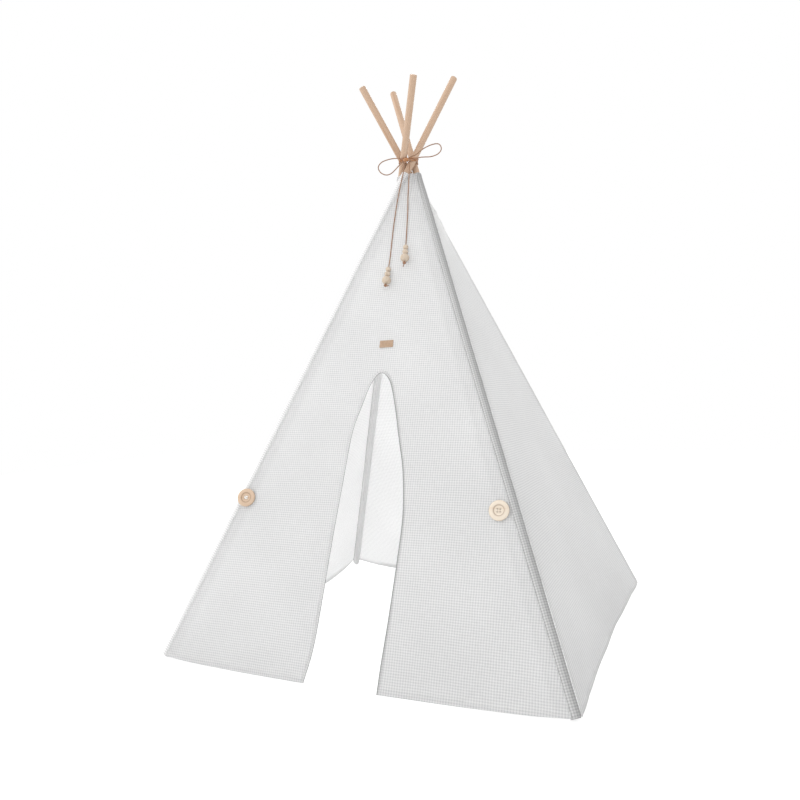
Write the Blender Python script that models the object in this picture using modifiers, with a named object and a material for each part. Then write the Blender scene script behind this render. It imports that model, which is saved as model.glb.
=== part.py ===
"""A kids teepee: four poles lashed at the crown, a taut cloth canopy with an arched door, a beaded tie."""

import math

import bmesh
import bpy
from mathutils import Matrix, Vector

# Poles, in metres
FOOT_SPACING = 1.10
POLE_LENGTH = 1.85
POLE_DIAMETER = 0.020
POLE_END_ROUND = 0.003

# Crown, the middle of the place where the poles cross
CROWN_HEIGHT = 1.3685
CROWN_RIGHT = 0.0155
CROWN_FORWARD = 0.077
CROWN_RADIUS = 0.019

# Canopy cloth
CLOTH = 0.0014
CANOPY_DROP = 0.030
HEM_CLEARANCE = 0.002
FRONT_HEM_RISE = 0.006
REAR_HEM_RISE = 0.015
FRONT_BELLY_SHARE = 0.014
RIGHT_BELLY_SHARE = -0.014
BACK_BELLY_SHARE = -0.065
LEFT_BELLY_SHARE = -0.055
FOLD_DEPTH = 0.004
FOLD_COUNT = 3

# Corner sleeves, each with a closed pocket that the pole stands in
SLEEVE_DIAMETER = 0.026
POCKET_FLOOR = 0.003
POCKET_ROUND = 0.003
FOOT_FLAT = 0.001

# Door: its edge as shares of the half width and the height, from the left hem over the top to the right hem
DOOR_HEIGHT = 0.787
DOOR_HALF_WIDTH = 0.100
DOOR_EDGE_SHARES = (
    (-0.95, 0.00), (-0.82, 0.10), (-0.78, 0.24), (-0.75, 0.44), (-0.70, 0.62), (-0.64, 0.79),
    (-0.48, 0.88), (-0.30, 0.96), (-0.05, 1.00), (0.24, 0.97), (0.49, 0.88), (0.70, 0.78),
    (0.95, 0.66), (1.10, 0.52), (1.10, 0.36), (1.07, 0.20), (1.03, 0.08), (1.02, 0.00),
)
BINDING_WIDTH = 0.008
BINDING_THICKNESS = 0.0024

# Label, a bare leather tag over the door
LABEL_WIDTH = 0.040
LABEL_DEPTH = 0.021
LABEL_THICKNESS = 0.0014
LABEL_CORNER = 0.002
LABEL_ABOVE_DOOR = 0.084

# Wooden buttons
BUTTON_DIAMETER = 0.050
BUTTON_THICKNESS = 0.0055
BUTTON_EDGE = 0.0018
DISH_DIAMETER = 0.026
DISH_DEPTH = 0.0014
DISH_SLOPE = 0.0015
THREAD_HOLE_DIAMETER = 0.0035
THREAD_HOLE_SPACING = 0.0065
BUTTON_SHANK = 0.0018
THREAD_DIAMETER = 0.0011
LEFT_BUTTON_HEIGHT = 0.438
LEFT_BUTTON_INSET = 0.0235
LEFT_BUTTON_TURN_DEGREES = 18
RIGHT_BUTTON_HEIGHT = 0.427
RIGHT_BUTTON_INSET = 0.035

# Suede cord: the lashing, the bow and the two hanging ends
CORD_DIAMETER = 0.003
LASH_TURNS = 3
LASH_PITCH = 0.0036
LASH_RISE = 0.012
LASH_START_DEGREES = 150
KNOT_WIDTH = 0.018
KNOT_DEPTH = 0.010
KNOT_HEIGHT = 0.011
KNOT_RISE = 0.008
KNOT_PLACE_SHARE = 0.27
END_KNOT_WIDTH = 0.010
END_KNOT_HEIGHT = 0.009
TIE_FORWARD = 0.001

# Cord routes. Bow loops are measured from the middle of the knot: right, back, up
LEFT_BOW_ROUTE = (
    (-0.0185, -0.001, 0.0073), (-0.0465, -0.004, 0.0093), (-0.0745, -0.006, 0.0043),
    (-0.0875, -0.006, -0.0087), (-0.0815, -0.005, -0.0247), (-0.0645, -0.004, -0.0350),
    (-0.0460, -0.003, -0.0325), (-0.0235, -0.001, -0.0145),
)
RIGHT_BOW_ROUTE = (
    (0.0315, -0.002, 0.0083), (0.0595, -0.005, 0.0213), (0.0885, -0.007, 0.0273),
    (0.1075, -0.007, 0.0245), (0.1140, -0.006, 0.0110), (0.1045, -0.005, -0.0010),
    (0.0810, -0.003, -0.0052), (0.0455, -0.002, -0.0012),
)
# The hanging ends leave the knot, measured as the bow is, then lie on the front: side, height up it, lift
LEFT_DROP_ROUTE = ((-0.0055, -0.0030, -0.018), (-0.0080, -0.0065, -0.041))
LEFT_LYING_ROUTE = (
    (-0.0275, 1.330, 0.0042), (-0.0285, 1.260, 0.0022), (-0.0270, 1.190, 0.0020), (-0.0250, 1.140, 0.0030),
)
LEFT_CHAIN_END = (-0.0217, 1.0595)
RIGHT_DROP_ROUTE = ((0.0120, -0.0030, -0.018), (0.0115, -0.0055, -0.041))
RIGHT_LYING_ROUTE = (
    (0.0020, 1.330, 0.0042), (0.0075, 1.285, 0.0022), (0.0120, 1.235, 0.0022), (0.0155, 1.200, 0.0030),
)
RIGHT_CHAIN_END = (0.0240, 1.1245)

# Beads on each hanging end, from the top one down
BEAD_DIAMETERS = {"small_bead": 0.015, "middle_bead": 0.0165, "large_bead": 0.025}

# Fits and cuts
GAP = 0.0003
SEAM_GAP = 0.0009
CUT_OVERRUN = 0.02

# Fineness
POLE_SIDES = 24
SLEEVE_SIDES = 20
CLOTH_COLUMNS = 12
CLOTH_ROWS = 14
DOOR_STEPS_PER_POINT = 2
LASH_POINTS_PER_TURN = 24
CORD_STEP = 0.008
BEAD_SIDES = 16
BEAD_ARC_STEPS = 10
BUTTON_SIDES = 32
TUBE_RESOLUTION = 2

SLEEVE_RADIUS = SLEEVE_DIAMETER / 2
CORD_RADIUS = CORD_DIAMETER / 2
CROWN = Vector((CROWN_RIGHT, -CROWN_FORWARD, CROWN_HEIGHT))
CANOPY_TOP = CROWN_HEIGHT - CANOPY_DROP
# A wall starts this far from the pole's axis, square to it, where its inner face clears the round sleeve
SEAM_EDGE = math.sqrt((SLEEVE_RADIUS + SEAM_GAP) ** 2 - (SLEEVE_RADIUS - CLOTH) ** 2)

# Each corner's side of the middle: right or left, back or front
CORNERS = {"front_left": (-1, -1), "front_right": (1, -1), "back_right": (1, 1), "back_left": (-1, 1)}
# Each wall's corners, left and right as seen from outside, how far its hem bellies out as a share of its
# width, the depth of its folds, and how far its hem rises at the corners
WALLS = {
    "front_wall": ("front_left", "front_right", FRONT_BELLY_SHARE, 0, FRONT_HEM_RISE),
    "right_wall": ("front_right", "back_right", RIGHT_BELLY_SHARE, FOLD_DEPTH, FRONT_HEM_RISE),
    "back_wall": ("back_right", "back_left", BACK_BELLY_SHARE, FOLD_DEPTH, REAR_HEM_RISE),
    "left_wall": ("back_left", "front_left", LEFT_BELLY_SHARE, FOLD_DEPTH, REAR_HEM_RISE),
}


# Scene set-up
def clear_scene():
    for obj in list(bpy.data.objects):
        bpy.data.objects.remove(obj)


def new_collection(name):
    collection = bpy.data.collections.new(name)
    bpy.context.scene.collection.children.link(collection)
    return collection


def new_material(name, colour, roughness, metallic=0.0):
    material = bpy.data.materials.new(name)
    material.use_nodes = True
    shader = material.node_tree.nodes["Principled BSDF"]
    shader.inputs["Base Color"].default_value = (*colour, 1.0)
    shader.inputs["Roughness"].default_value = roughness
    shader.inputs["Metallic"].default_value = metallic
    material.diffuse_color = (*colour, 1.0)
    return material


clear_scene()
PARTS = new_collection("kids_teepee")
CUTTERS = new_collection("cutters")
BEECH = new_material("beech", (0.72, 0.50, 0.33), 0.55)
BEAD_WOOD = new_material("bead_wood", (0.80, 0.62, 0.45), 0.6)
BUTTON_WOOD = new_material("button_wood", (0.75, 0.55, 0.36), 0.5)
GINGHAM = new_material("gingham", (0.78, 0.78, 0.78), 0.9)
LINING = new_material("lining", (0.86, 0.86, 0.86), 0.9)
TAPE = new_material("tape", (0.55, 0.55, 0.55), 0.9)
LEATHER = new_material("leather", (0.55, 0.36, 0.22), 0.6)
COTTON = new_material("cotton", (0.85, 0.84, 0.80), 0.9)
SUEDE = new_material("suede", (0.30, 0.16, 0.08), 0.9)


# Object helpers
def add_object(name, data, material, parent=None, matrix=None):
    """Links a part, gives it its material, and hangs it from an empty without moving it."""
    obj = bpy.data.objects.new(name, data)
    PARTS.objects.link(obj)
    data.materials.append(material)
    if matrix is not None:
        obj.matrix_basis = matrix
    if parent is not None:
        obj.parent = parent
        obj.matrix_parent_inverse = parent.matrix_basis.inverted()
    return obj


def add_pivot(name, place):
    """An empty on a joint's axis."""
    pivot = bpy.data.objects.new(name, None)
    pivot.location = place
    pivot.matrix_basis = Matrix.Translation(place)
    pivot.empty_display_size = CROWN_RADIUS
    PARTS.objects.link(pivot)
    return pivot


def add_cutter(name, mesh, matrix=None):
    cutter = bpy.data.objects.new(name, mesh)
    CUTTERS.objects.link(cutter)
    if matrix is not None:
        cutter.matrix_basis = matrix
    cutter.hide_render = True
    cutter.display_type = "WIRE"
    return cutter


def cut(obj, cutter):
    modifier = obj.modifiers.new(cutter.name, "BOOLEAN")
    modifier.operation = "DIFFERENCE"
    modifier.object = cutter


def mesh_from(name, build):
    """A new mesh that the given function fills through bmesh."""
    mesh = bpy.data.meshes.new(name)
    form = bmesh.new()
    build(form)
    form.to_mesh(mesh)
    form.free()
    return mesh


def shade_round(mesh, degrees=40):
    mesh.shade_smooth()
    mesh.set_sharp_from_angle(angle=math.radians(degrees))


def turned_mesh(name, profile, closed=False):
    """The edge chain of a turned shape, in the XZ plane."""
    count = len(profile)
    edges = [(i, i + 1) for i in range(count - 1)]
    if closed:
        edges.append((count - 1, 0))
    mesh = bpy.data.meshes.new(name)
    mesh.from_pydata([(x, 0, z) for x, z in profile], edges, [])
    return mesh


def turn(obj, sides):
    modifier = obj.modifiers.new("turn", "SCREW")
    modifier.steps = sides
    modifier.render_steps = sides
    modifier.use_merge_vertices = True
    modifier.merge_threshold = GAP / 10
    modifier.use_smooth_shade = True


def tube(name, points, radius, material, parent=None):
    """An unbroken round cord through the points."""
    curve = bpy.data.curves.new(name, "CURVE")
    curve.dimensions = "3D"
    spline = curve.splines.new("POLY")
    spline.points.add(len(points) - 1)
    for knot, place in zip(spline.points, points):
        knot.co = (*place, 1.0)
    curve.bevel_depth = radius
    curve.bevel_resolution = TUBE_RESOLUTION
    curve.use_fill_caps = True
    return add_object(name, curve, material, parent)


def smooth_route(points, step):
    """Places about a step apart on one smooth curve through the points."""
    ends = [points[0] * 2 - points[1], *points, points[-1] * 2 - points[-2]]
    route = [points[0]]
    for before, start, finish, after in zip(ends, ends[1:], ends[2:], ends[3:]):
        count = max(1, round((finish - start).length / step))
        for i in range(1, count + 1):
            t = i / count
            bend = (finish - before) * t
            bend += (before * 2 - start * 5 + finish * 4 - after) * t**2
            bend += (start * 3 - before - finish * 3 + after) * t**3
            route.append(start + bend / 2)
    return route


def frame_matrix(place, right, up):
    """A frame with X to the right, Y up the cloth and Z out of it."""
    out = right.cross(up).normalized()
    side = right.normalized()
    return Matrix.Translation(place) @ Matrix((side, out.cross(side), out)).transposed().to_4x4()


# Geometry of the poles
def foot_of(corner):
    right, back = CORNERS[corner]
    return Vector((right, back, 0)) * FOOT_SPACING / 2


def crossing_of(corner):
    """Where a pole passes the crown: each one goes by on the same hand."""
    right, back = CORNERS[corner]
    return CROWN + Vector((-back, right, 0)).normalized() * CROWN_RADIUS


def axis_at(corner, height):
    return foot_of(corner).lerp(crossing_of(corner), height / CROWN_HEIGHT)


def direction_of(corner):
    return (crossing_of(corner) - foot_of(corner)).normalized()


def sleeve_start(corner):
    """How far up its axis a sleeve starts, so that its rounded lowest edge is cut flat on the ground."""
    lean = direction_of(corner).angle(Vector((0, 0, 1)))
    inner = SLEEVE_RADIUS - POCKET_ROUND
    return (inner * math.sin(lean) + POCKET_ROUND - FOOT_FLAT) / math.cos(lean) - POCKET_ROUND


def seam_share(wall, height):
    """How far across a wall its cloth starts, as a share of the level distance between pole axes."""
    left, right = WALLS[wall][:2]
    run = axis_at(right, height) - axis_at(left, height)
    slant = min(direction_of(left).cross(run).length, direction_of(right).cross(run).length)
    return SEAM_EDGE / slant


def pole_frame(corner):
    """The frame at a pole's crossing, with Z up along the pole."""
    turn_up = direction_of(corner).to_track_quat("Z", "Y").to_matrix().to_4x4()
    return Matrix.Translation(crossing_of(corner)) @ turn_up


# Geometry of the cloth
def canopy_point(wall, across, height, lift=0):
    """A place on a wall's outer face: across it as a share, at a height, lifted off the face."""
    left, right, belly_share, fold_depth = WALLS[wall][:4]
    start, finish = axis_at(left, height), axis_at(right, height)
    run = finish - start
    rise = direction_of(left).lerp(direction_of(right), across)
    edge = seam_share(wall, height)
    inner = min(max((across - edge) / (1 - 2 * edge), 0), 1)
    fall = 1 - height / CANOPY_TOP
    belly = belly_share * run.length**2 / FOOT_SPACING * 4 * inner * (1 - inner)
    folds = fold_depth * fall * math.sin(math.pi * inner) ** 2 * math.sin(2 * math.pi * FOLD_COUNT * inner)
    out = run.cross(rise).normalized()
    return start + run * across + out * (SLEEVE_RADIUS + belly + folds + lift)


def cloth_point(wall, inner, level):
    """A place on a wall's outer face: its share of the way from seam to seam, and its level."""
    height = level
    for _ in range(4):
        edge = seam_share(wall, height)
        place = canopy_point(wall, edge + (1 - 2 * edge) * inner, height)
        height += level - place.z
    return place


def front_point(side, slope, lift=0):
    """A place on the front wall: side from its middle line, and height measured up the slope."""
    height = slope * CROWN_HEIGHT / front_slope()
    run = (axis_at("front_right", height) - axis_at("front_left", height)).length
    return canopy_point("front_wall", 0.5 + side / run, height, lift)


def front_slope():
    """The length of the front wall's middle line, from the ground to the crown."""
    top = (crossing_of("front_left") + crossing_of("front_right")) / 2
    foot = (foot_of("front_left") + foot_of("front_right")) / 2
    return (top - foot).length


def hem_slope():
    """Where the front's hem lies in the middle, as a height up the slope."""
    slope = 0
    for _ in range(4):
        slope += (HEM_CLEARANCE - front_point(0, slope).z) * front_slope() / CROWN_HEIGHT
    return slope


def front_frame(side, slope, lift=0):
    """A frame on the front wall, square to its face there."""
    right = front_point(side + CLOTH, slope) - front_point(side - CLOTH, slope)
    up = front_point(side, slope + CLOTH) - front_point(side, slope - CLOTH)
    return frame_matrix(front_point(side, slope, lift), right, up)


def inset_side(slope, inset):
    """The side distance of a place that lies an inset inside a front pole's axis."""
    height = slope * CROWN_HEIGHT / front_slope()
    run = (axis_at("front_right", height) - axis_at("front_left", height)).length
    return run / 2 - inset


def grid_on(place, columns, rows):
    """A bmesh builder: a grid whose corners' shares, across and up, the given function places."""

    def build(form):
        bmesh.ops.create_grid(form, x_segments=columns, y_segments=rows, size=1)
        for corner in form.verts:
            corner.co = place((corner.co.x + 1) / 2, (corner.co.y + 1) / 2)

    return build


def thicken(obj, thickness):
    """Gives a sheet its thickness, inwards from its outer face."""
    modifier = obj.modifiers.new("thickness", "SOLIDIFY")
    modifier.thickness = thickness
    modifier.offset = -1


# Poles and their sleeves
def make_pole(corner, pivot):
    start = sleeve_start(corner) + POCKET_FLOOR + GAP
    reach = (crossing_of(corner) - foot_of(corner)).length
    middle = start + POLE_LENGTH / 2 - reach

    def build(form):
        bmesh.ops.create_cone(
            form,
            cap_ends=True,
            segments=POLE_SIDES,
            radius1=POLE_DIAMETER / 2,
            radius2=POLE_DIAMETER / 2,
            depth=POLE_LENGTH,
            matrix=Matrix.Translation((0, 0, middle)),
        )

    mesh = mesh_from(f"pole_{corner}", build)
    shade_round(mesh)
    pole = add_object(f"pole_{corner}", mesh, BEECH, pivot, pole_frame(corner))
    rounding = pole.modifiers.new("rounded ends", "BEVEL")
    rounding.width = POLE_END_ROUND
    rounding.segments = 2
    rounding.limit_method = "ANGLE"


def make_sleeve(corner, pivot, ground):
    reach = (crossing_of(corner) - foot_of(corner)).length
    bottom = sleeve_start(corner) - reach
    top = -CANOPY_DROP / direction_of(corner).z
    bore = SLEEVE_RADIUS - CLOTH
    profile = [(0, bottom + POCKET_FLOOR), (bore, bottom + POCKET_FLOOR), (bore, top), (SLEEVE_RADIUS, top)]
    for degrees in (0, 30, 60, 90):
        angle = math.radians(degrees)
        across = SLEEVE_RADIUS - POCKET_ROUND * (1 - math.cos(angle))
        profile.append((across, bottom + POCKET_ROUND * (1 - math.sin(angle))))
    profile.append((0, bottom))
    mesh = turned_mesh(f"sleeve_{corner}", profile)
    sleeve = add_object(f"sleeve_{corner}", mesh, LINING, pivot, pole_frame(corner))
    turn(sleeve, SLEEVE_SIDES)
    cut(sleeve, ground)


def make_ground_cutter():
    """Everything below the ground, to stand the pockets flat on it."""
    width = FOOT_SPACING + 4 * CUT_OVERRUN

    def build(form):
        shape = Matrix.Diagonal((width, width, CUT_OVERRUN, 1))
        bmesh.ops.create_cube(form, size=1, matrix=Matrix.Translation((0, 0, -CUT_OVERRUN / 2)) @ shape)

    return add_cutter("ground", mesh_from("ground", build))


# Walls and the door
def make_wall(wall, pivot):
    hem_rise = WALLS[wall][4]

    def place(inner, up):
        hem = HEM_CLEARANCE + hem_rise * (2 * inner - 1) ** 6
        return cloth_point(wall, inner, hem + (CANOPY_TOP - hem) * up)

    mesh = mesh_from(wall, grid_on(place, CLOTH_COLUMNS, CLOTH_ROWS))
    shade_round(mesh)
    obj = add_object(wall, mesh, GINGHAM, pivot)
    thicken(obj, CLOTH)
    return obj


def door_edge():
    """The door's edge as places on the front wall, side and slope, close enough together to look round."""
    bottom = hem_slope()
    corners = [
        Vector((side * DOOR_HALF_WIDTH, bottom + (DOOR_HEIGHT - bottom) * rise, 0))
        for side, rise in DOOR_EDGE_SHARES
    ]
    spacing = DOOR_HEIGHT / len(corners) / DOOR_STEPS_PER_POINT
    return smooth_route(corners, spacing)


def edge_outwards(edge):
    """At each place of the door's edge, the direction out of the door, along the cloth."""
    outwards = []
    for i in range(len(edge)):
        run = edge[min(i + 1, len(edge) - 1)] - edge[max(i - 1, 0)]
        outwards.append(Vector((-run.y, run.x, 0)).normalized())
    outwards[0] = Vector((-1, 0, 0))
    outwards[-1] = Vector((1, 0, 0))
    return outwards


def make_door_cutter():
    """The door and its binding as an upright slab through the front wall, open at the hem."""
    edge = door_edge()
    clear = [p + out * (BINDING_WIDTH + GAP) for p, out in zip(edge, edge_outwards(edge))]
    frame = front_frame(0, 0)
    flat = [frame.inverted() @ front_point(p.x, p.y) for p in clear]
    drop = Vector((0, CUT_OVERRUN, 0))
    outline = [flat[0] - drop, *flat, flat[-1] - drop]
    curve = bpy.data.curves.new("door_outline", "CURVE")
    curve.dimensions = "2D"
    curve.fill_mode = "BOTH"
    curve.extrude = CUT_OVERRUN * 2
    spline = curve.splines.new("POLY")
    spline.points.add(len(outline) - 1)
    for knot, place in zip(spline.points, outline):
        knot.co = (place.x, place.y, 0, 1)
    spline.use_cyclic_u = True
    guide = bpy.data.objects.new("door_outline", curve)
    CUTTERS.objects.link(guide)
    bpy.context.view_layer.update()
    mesh = bpy.data.meshes.new_from_object(guide.evaluated_get(bpy.context.evaluated_depsgraph_get()))
    bpy.data.objects.remove(guide)
    form = bmesh.new()
    form.from_mesh(mesh)
    bmesh.ops.remove_doubles(form, verts=form.verts, dist=GAP / 10)
    bmesh.ops.recalc_face_normals(form, faces=form.faces)
    form.to_mesh(mesh)
    form.free()
    return add_cutter("door", mesh, frame)


def make_binding(pivot):
    edge = door_edge()
    outwards = edge_outwards(edge)
    proud = (BINDING_THICKNESS - CLOTH) / 2

    def place(along, across):
        i = round(along * (len(edge) - 1))
        spot = edge[i] + outwards[i] * BINDING_WIDTH * across
        return front_point(spot.x, spot.y, proud)

    mesh = mesh_from("door_binding", grid_on(place, len(edge) - 1, 1))
    shade_round(mesh)
    thicken(add_object("door_binding", mesh, TAPE, pivot), BINDING_THICKNESS)


# Label and buttons
def make_label(pivot):
    def build(form):
        shape = Matrix.Diagonal((LABEL_WIDTH, LABEL_DEPTH, LABEL_THICKNESS, 1))
        bmesh.ops.create_cube(form, size=1, matrix=shape)
        upright = [e for e in form.edges if abs(e.verts[0].co.z - e.verts[1].co.z) > LABEL_THICKNESS / 2]
        bmesh.ops.bevel(form, geom=upright, offset=LABEL_CORNER, segments=3, profile=0.5, affect="EDGES")

    frame = front_frame(0, DOOR_HEIGHT + LABEL_ABOVE_DOOR, GAP + LABEL_THICKNESS / 2)
    add_object("label", mesh_from("label", build), LEATHER, pivot, frame)


def button_profile():
    """A button's profile from the middle of its face, over its dish and rim, to the middle of its back."""
    radius, dish = BUTTON_DIAMETER / 2, DISH_DIAMETER / 2
    floor = BUTTON_THICKNESS - DISH_DEPTH
    profile = [(0, floor), (dish - DISH_SLOPE, floor), (dish, BUTTON_THICKNESS)]
    for height, quarter in ((BUTTON_THICKNESS - BUTTON_EDGE, 90), (BUTTON_EDGE, 0)):
        for turned in (0, 30, 60, 90):
            angle = math.radians(quarter - turned)
            across = radius - BUTTON_EDGE * (1 - math.cos(angle))
            profile.append((across, height + BUTTON_EDGE * math.sin(angle)))
    profile.append((0, 0))
    return profile


def button_frame(side, slope, turned):
    """A button's frame. Turned to the right on its thread, it clears the cloth by the shank's length."""
    angle = math.radians(turned)
    rise = BUTTON_SHANK + BUTTON_DIAMETER / 2 * math.sin(angle)
    return front_frame(side, slope, rise) @ Matrix.Rotation(angle, 4, "Y")


def make_thread(name, pivot, matrix, cloth_place):
    """The thread that holds a button: out of one hole and into the next, twice, by way of the cloth."""
    floor = BUTTON_THICKNESS - DISH_DEPTH
    front = floor + THREAD_DIAMETER / 2 + GAP
    behind = -THREAD_DIAMETER / 2 - GAP
    half = THREAD_HOLE_SPACING / 2
    bend = THREAD_DIAMETER / 2
    route = []
    for up in (half, -half):
        for side, order in ((-half, 1), (half, -1)):
            turned = bend if side < 0 else -bend
            leg = [(side, up, behind), (side, up, front - bend), (side + turned, up, front)]
            route += leg[::order]
    points = [matrix @ Vector(p) for p in route]
    points.insert(len(points) // 2, cloth_place)
    tube(name, points, THREAD_DIAMETER / 2, COTTON, pivot)


def make_button(name, side, slope, pivot, holes, turned=0):
    place = button_frame(side, slope, turned)
    button = add_object(name, turned_mesh(name, button_profile()), BUTTON_WOOD, pivot, place)
    turn(button, BUTTON_SIDES)
    cut(button, add_cutter(f"{name}_holes", holes, button.matrix_basis))
    cloth_place = front_point(side, slope, THREAD_DIAMETER / 2 + GAP)
    make_thread(name.replace("button", "thread"), pivot, button.matrix_basis, cloth_place)


def thread_holes():
    """Four upright pins, one for each thread hole of a button."""

    def build(form):
        for right, up in CORNERS.values():
            place = Vector((right, up, 0)) * THREAD_HOLE_SPACING / 2
            bmesh.ops.create_cone(
                form,
                cap_ends=True,
                segments=12,
                radius1=THREAD_HOLE_DIAMETER / 2,
                radius2=THREAD_HOLE_DIAMETER / 2,
                depth=2 * (BUTTON_THICKNESS + CUT_OVERRUN),
                matrix=Matrix.Translation(place),
            )

    return mesh_from("thread_holes", build)


# Lashing, bow and hanging ends
def lashing_point(height, angle):
    """The middle of the cord where, drawn tight round all four poles, it faces the given way."""
    facing = Vector((math.cos(angle), math.sin(angle), 0))
    clear = POLE_DIAMETER / 2 + CORD_RADIUS + GAP
    furthest = None
    for corner in CORNERS:
        rise = direction_of(corner)
        along = Vector((rise.x, rise.y, 0)).normalized()
        across = Vector((-along.y, along.x, 0))
        long_way = clear / rise.z
        slant = Vector((long_way * facing.dot(along), clear * facing.dot(across)))
        touch = axis_at(corner, height)
        touch += along * long_way * slant.x / slant.length + across * clear * slant.y / slant.length
        if furthest is None or touch.dot(facing) > furthest.dot(facing):
            furthest = touch
    return furthest


def make_lashing():
    middle = CROWN_HEIGHT + LASH_RISE
    count = LASH_TURNS * LASH_POINTS_PER_TURN
    points = []
    for i in range(count + 1):
        turns = i / LASH_POINTS_PER_TURN
        height = middle + (turns - LASH_TURNS / 2) * LASH_PITCH
        points.append(lashing_point(height, math.radians(LASH_START_DEGREES) + 2 * math.pi * turns))
    tube("lashing", points, CORD_RADIUS, SUEDE)
    least = least_gap(points)
    print(f"lashing: {LASH_TURNS} turns, least gap to itself {(least - CORD_DIAMETER) * 1000:.2f} mm")


def least_gap(points):
    """The least distance between places of the lashing that are a turn apart."""
    far = LASH_POINTS_PER_TURN // 2
    return min((a - b).length for i, a in enumerate(points) for b in points[i + far :])


def knot_centre():
    """The knot sits in front of the lashing, between the two poles in front."""
    middle = CROWN_HEIGHT + KNOT_RISE
    clear = middle + KNOT_HEIGHT / 2
    left, right = axis_at("back_left", clear), axis_at("front_left", clear)
    run = right - left
    out = Vector((run.y, -run.x, 0)).normalized()
    face = lashing_point(clear, math.atan2(out.y, out.x)).dot(out) + CORD_RADIUS + 2 * GAP
    place = left.lerp(right, KNOT_PLACE_SHARE)
    place += out * (face + KNOT_DEPTH / 2 - place.dot(out))
    return Vector((place.x, place.y, middle))


def knot_exit(facing):
    """Where a cord leaves the knot, facing away from its middle."""
    way = Vector(facing).normalized()
    half = Vector((KNOT_WIDTH, KNOT_DEPTH, KNOT_HEIGHT)) / 2
    surface = Vector(way * half)
    face = Vector((way.x / half.x, way.y / half.y, way.z / half.z)).normalized()
    start = knot_centre() + surface + face * GAP * 2
    return start, start + face * CORD_DIAMETER


def ball(name, width, depth, height, material, parent, matrix):
    def build(form):
        size = Matrix.Diagonal((width, depth, height, 1))
        bmesh.ops.create_uvsphere(form, u_segments=16, v_segments=10, radius=0.5, matrix=size)

    mesh = mesh_from(name, build)
    mesh.shade_smooth()
    return add_object(name, mesh, material, parent, matrix)


def make_bow():
    centre = knot_centre()
    ball("bow_knot", KNOT_WIDTH, KNOT_DEPTH, KNOT_HEIGHT, SUEDE, None, Matrix.Translation(centre))
    for name, hand, route in (("bow_loop_left", -1, LEFT_BOW_ROUTE), ("bow_loop_right", 1, RIGHT_BOW_ROUTE)):
        leave, leave_on = knot_exit((hand, -0.2, 0.5))
        back, back_on = knot_exit((hand, -0.2, -0.5))
        way = [centre + Vector(p) for p in route]
        tube(name, smooth_route([leave, leave_on, *way, back_on, back], CORD_STEP), CORD_RADIUS, SUEDE)


def bead_profile(radius):
    """A bead's rim round its bore, from the top down the outer side; the bore closes it."""
    bore = CORD_RADIUS + GAP
    start = math.acos(bore / radius)
    angles = [start - 2 * start * i / BEAD_ARC_STEPS for i in range(BEAD_ARC_STEPS + 1)]
    return [(radius * math.cos(a), radius * math.sin(a)) for a in angles]


def make_hanging_end(hand, facing, drop, lying, chain_end, pivot):
    """A hanging end: its cord, three beads that lie on the front wall, and the knot that holds them."""
    radii = [d / 2 for d in BEAD_DIAMETERS.values()]
    side, slope = chain_end
    length = sum(radii) * 2 - radii[0] - radii[-1] + GAP * (len(radii) - 1)
    last_lying = Vector(lying[-1])
    lead = Vector((last_lying.x - side, last_lying.y - slope, 0)).normalized()
    low = front_point(side, slope, radii[-1] + GAP)
    high = front_point(side + lead.x * length, slope + lead.y * length, radii[0] + GAP)
    up = (high - low).normalized()
    stand = up.to_track_quat("Z", "Y").to_matrix().to_4x4()
    place = Vector(low)
    below = None
    for name, radius in reversed(list(zip(BEAD_DIAMETERS, radii))):
        if below is not None:
            place = place + up * (below + radius + GAP)
        below = radius
        mesh = turned_mesh(f"{hand}_{name}", bead_profile(radius), closed=True)
        bead = add_object(f"{hand}_{name}", mesh, BEAD_WOOD, pivot, Matrix.Translation(place) @ stand)
        turn(bead, BEAD_SIDES)
    top = place + up * radii[0]
    foot = low - up * (radii[-1] + GAP)
    knot = foot - up * (END_KNOT_HEIGHT / 2)
    ball(
        f"{hand}_end_knot",
        END_KNOT_WIDTH,
        END_KNOT_WIDTH,
        END_KNOT_HEIGHT,
        SUEDE,
        pivot,
        Matrix.Translation(knot) @ stand,
    )
    leave, leave_on = knot_exit(facing)
    centre = knot_centre()
    route = [leave, leave_on, *(centre + Vector(p) for p in drop), *(front_point(*p) for p in lying)]
    route = smooth_route([*route, top + up * CORD_DIAMETER, top, foot + up * GAP], CORD_STEP)
    tube(f"{hand}_cord", route, CORD_RADIUS, SUEDE, pivot)


# Assembly
def make_frame():
    ground = make_ground_cutter()
    pivots = {}
    for corner in CORNERS:
        pivots[corner] = add_pivot(f"{corner}_pole_pivot", crossing_of(corner))
        make_pole(corner, pivots[corner])
        make_sleeve(corner, pivots[corner], ground)
    return pivots


def make_canopy(tie):
    pivots = {wall: add_pivot(f"{wall}_pivot", tie if wall == "front_wall" else CROWN) for wall in WALLS}
    walls = {wall: make_wall(wall, pivots[wall]) for wall in WALLS}
    cut(walls["front_wall"], make_door_cutter())
    make_binding(pivots["front_wall"])
    make_label(pivots["front_wall"])
    return pivots


def make_buttons(pivots):
    holes = thread_holes()
    left = -inset_side(LEFT_BUTTON_HEIGHT, LEFT_BUTTON_INSET)
    right = inset_side(RIGHT_BUTTON_HEIGHT, RIGHT_BUTTON_INSET)
    turned = LEFT_BUTTON_TURN_DEGREES
    make_button("button_left", left, LEFT_BUTTON_HEIGHT, pivots["front_left"], holes, turned)
    make_button("button_right", right, RIGHT_BUTTON_HEIGHT, pivots["front_right"], holes)


def tie_place():
    """The place under the knot's front that the hanging ends swing from, and the front wall with them."""
    return knot_centre() - Vector((0, TIE_FORWARD, KNOT_HEIGHT / 2))


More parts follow.
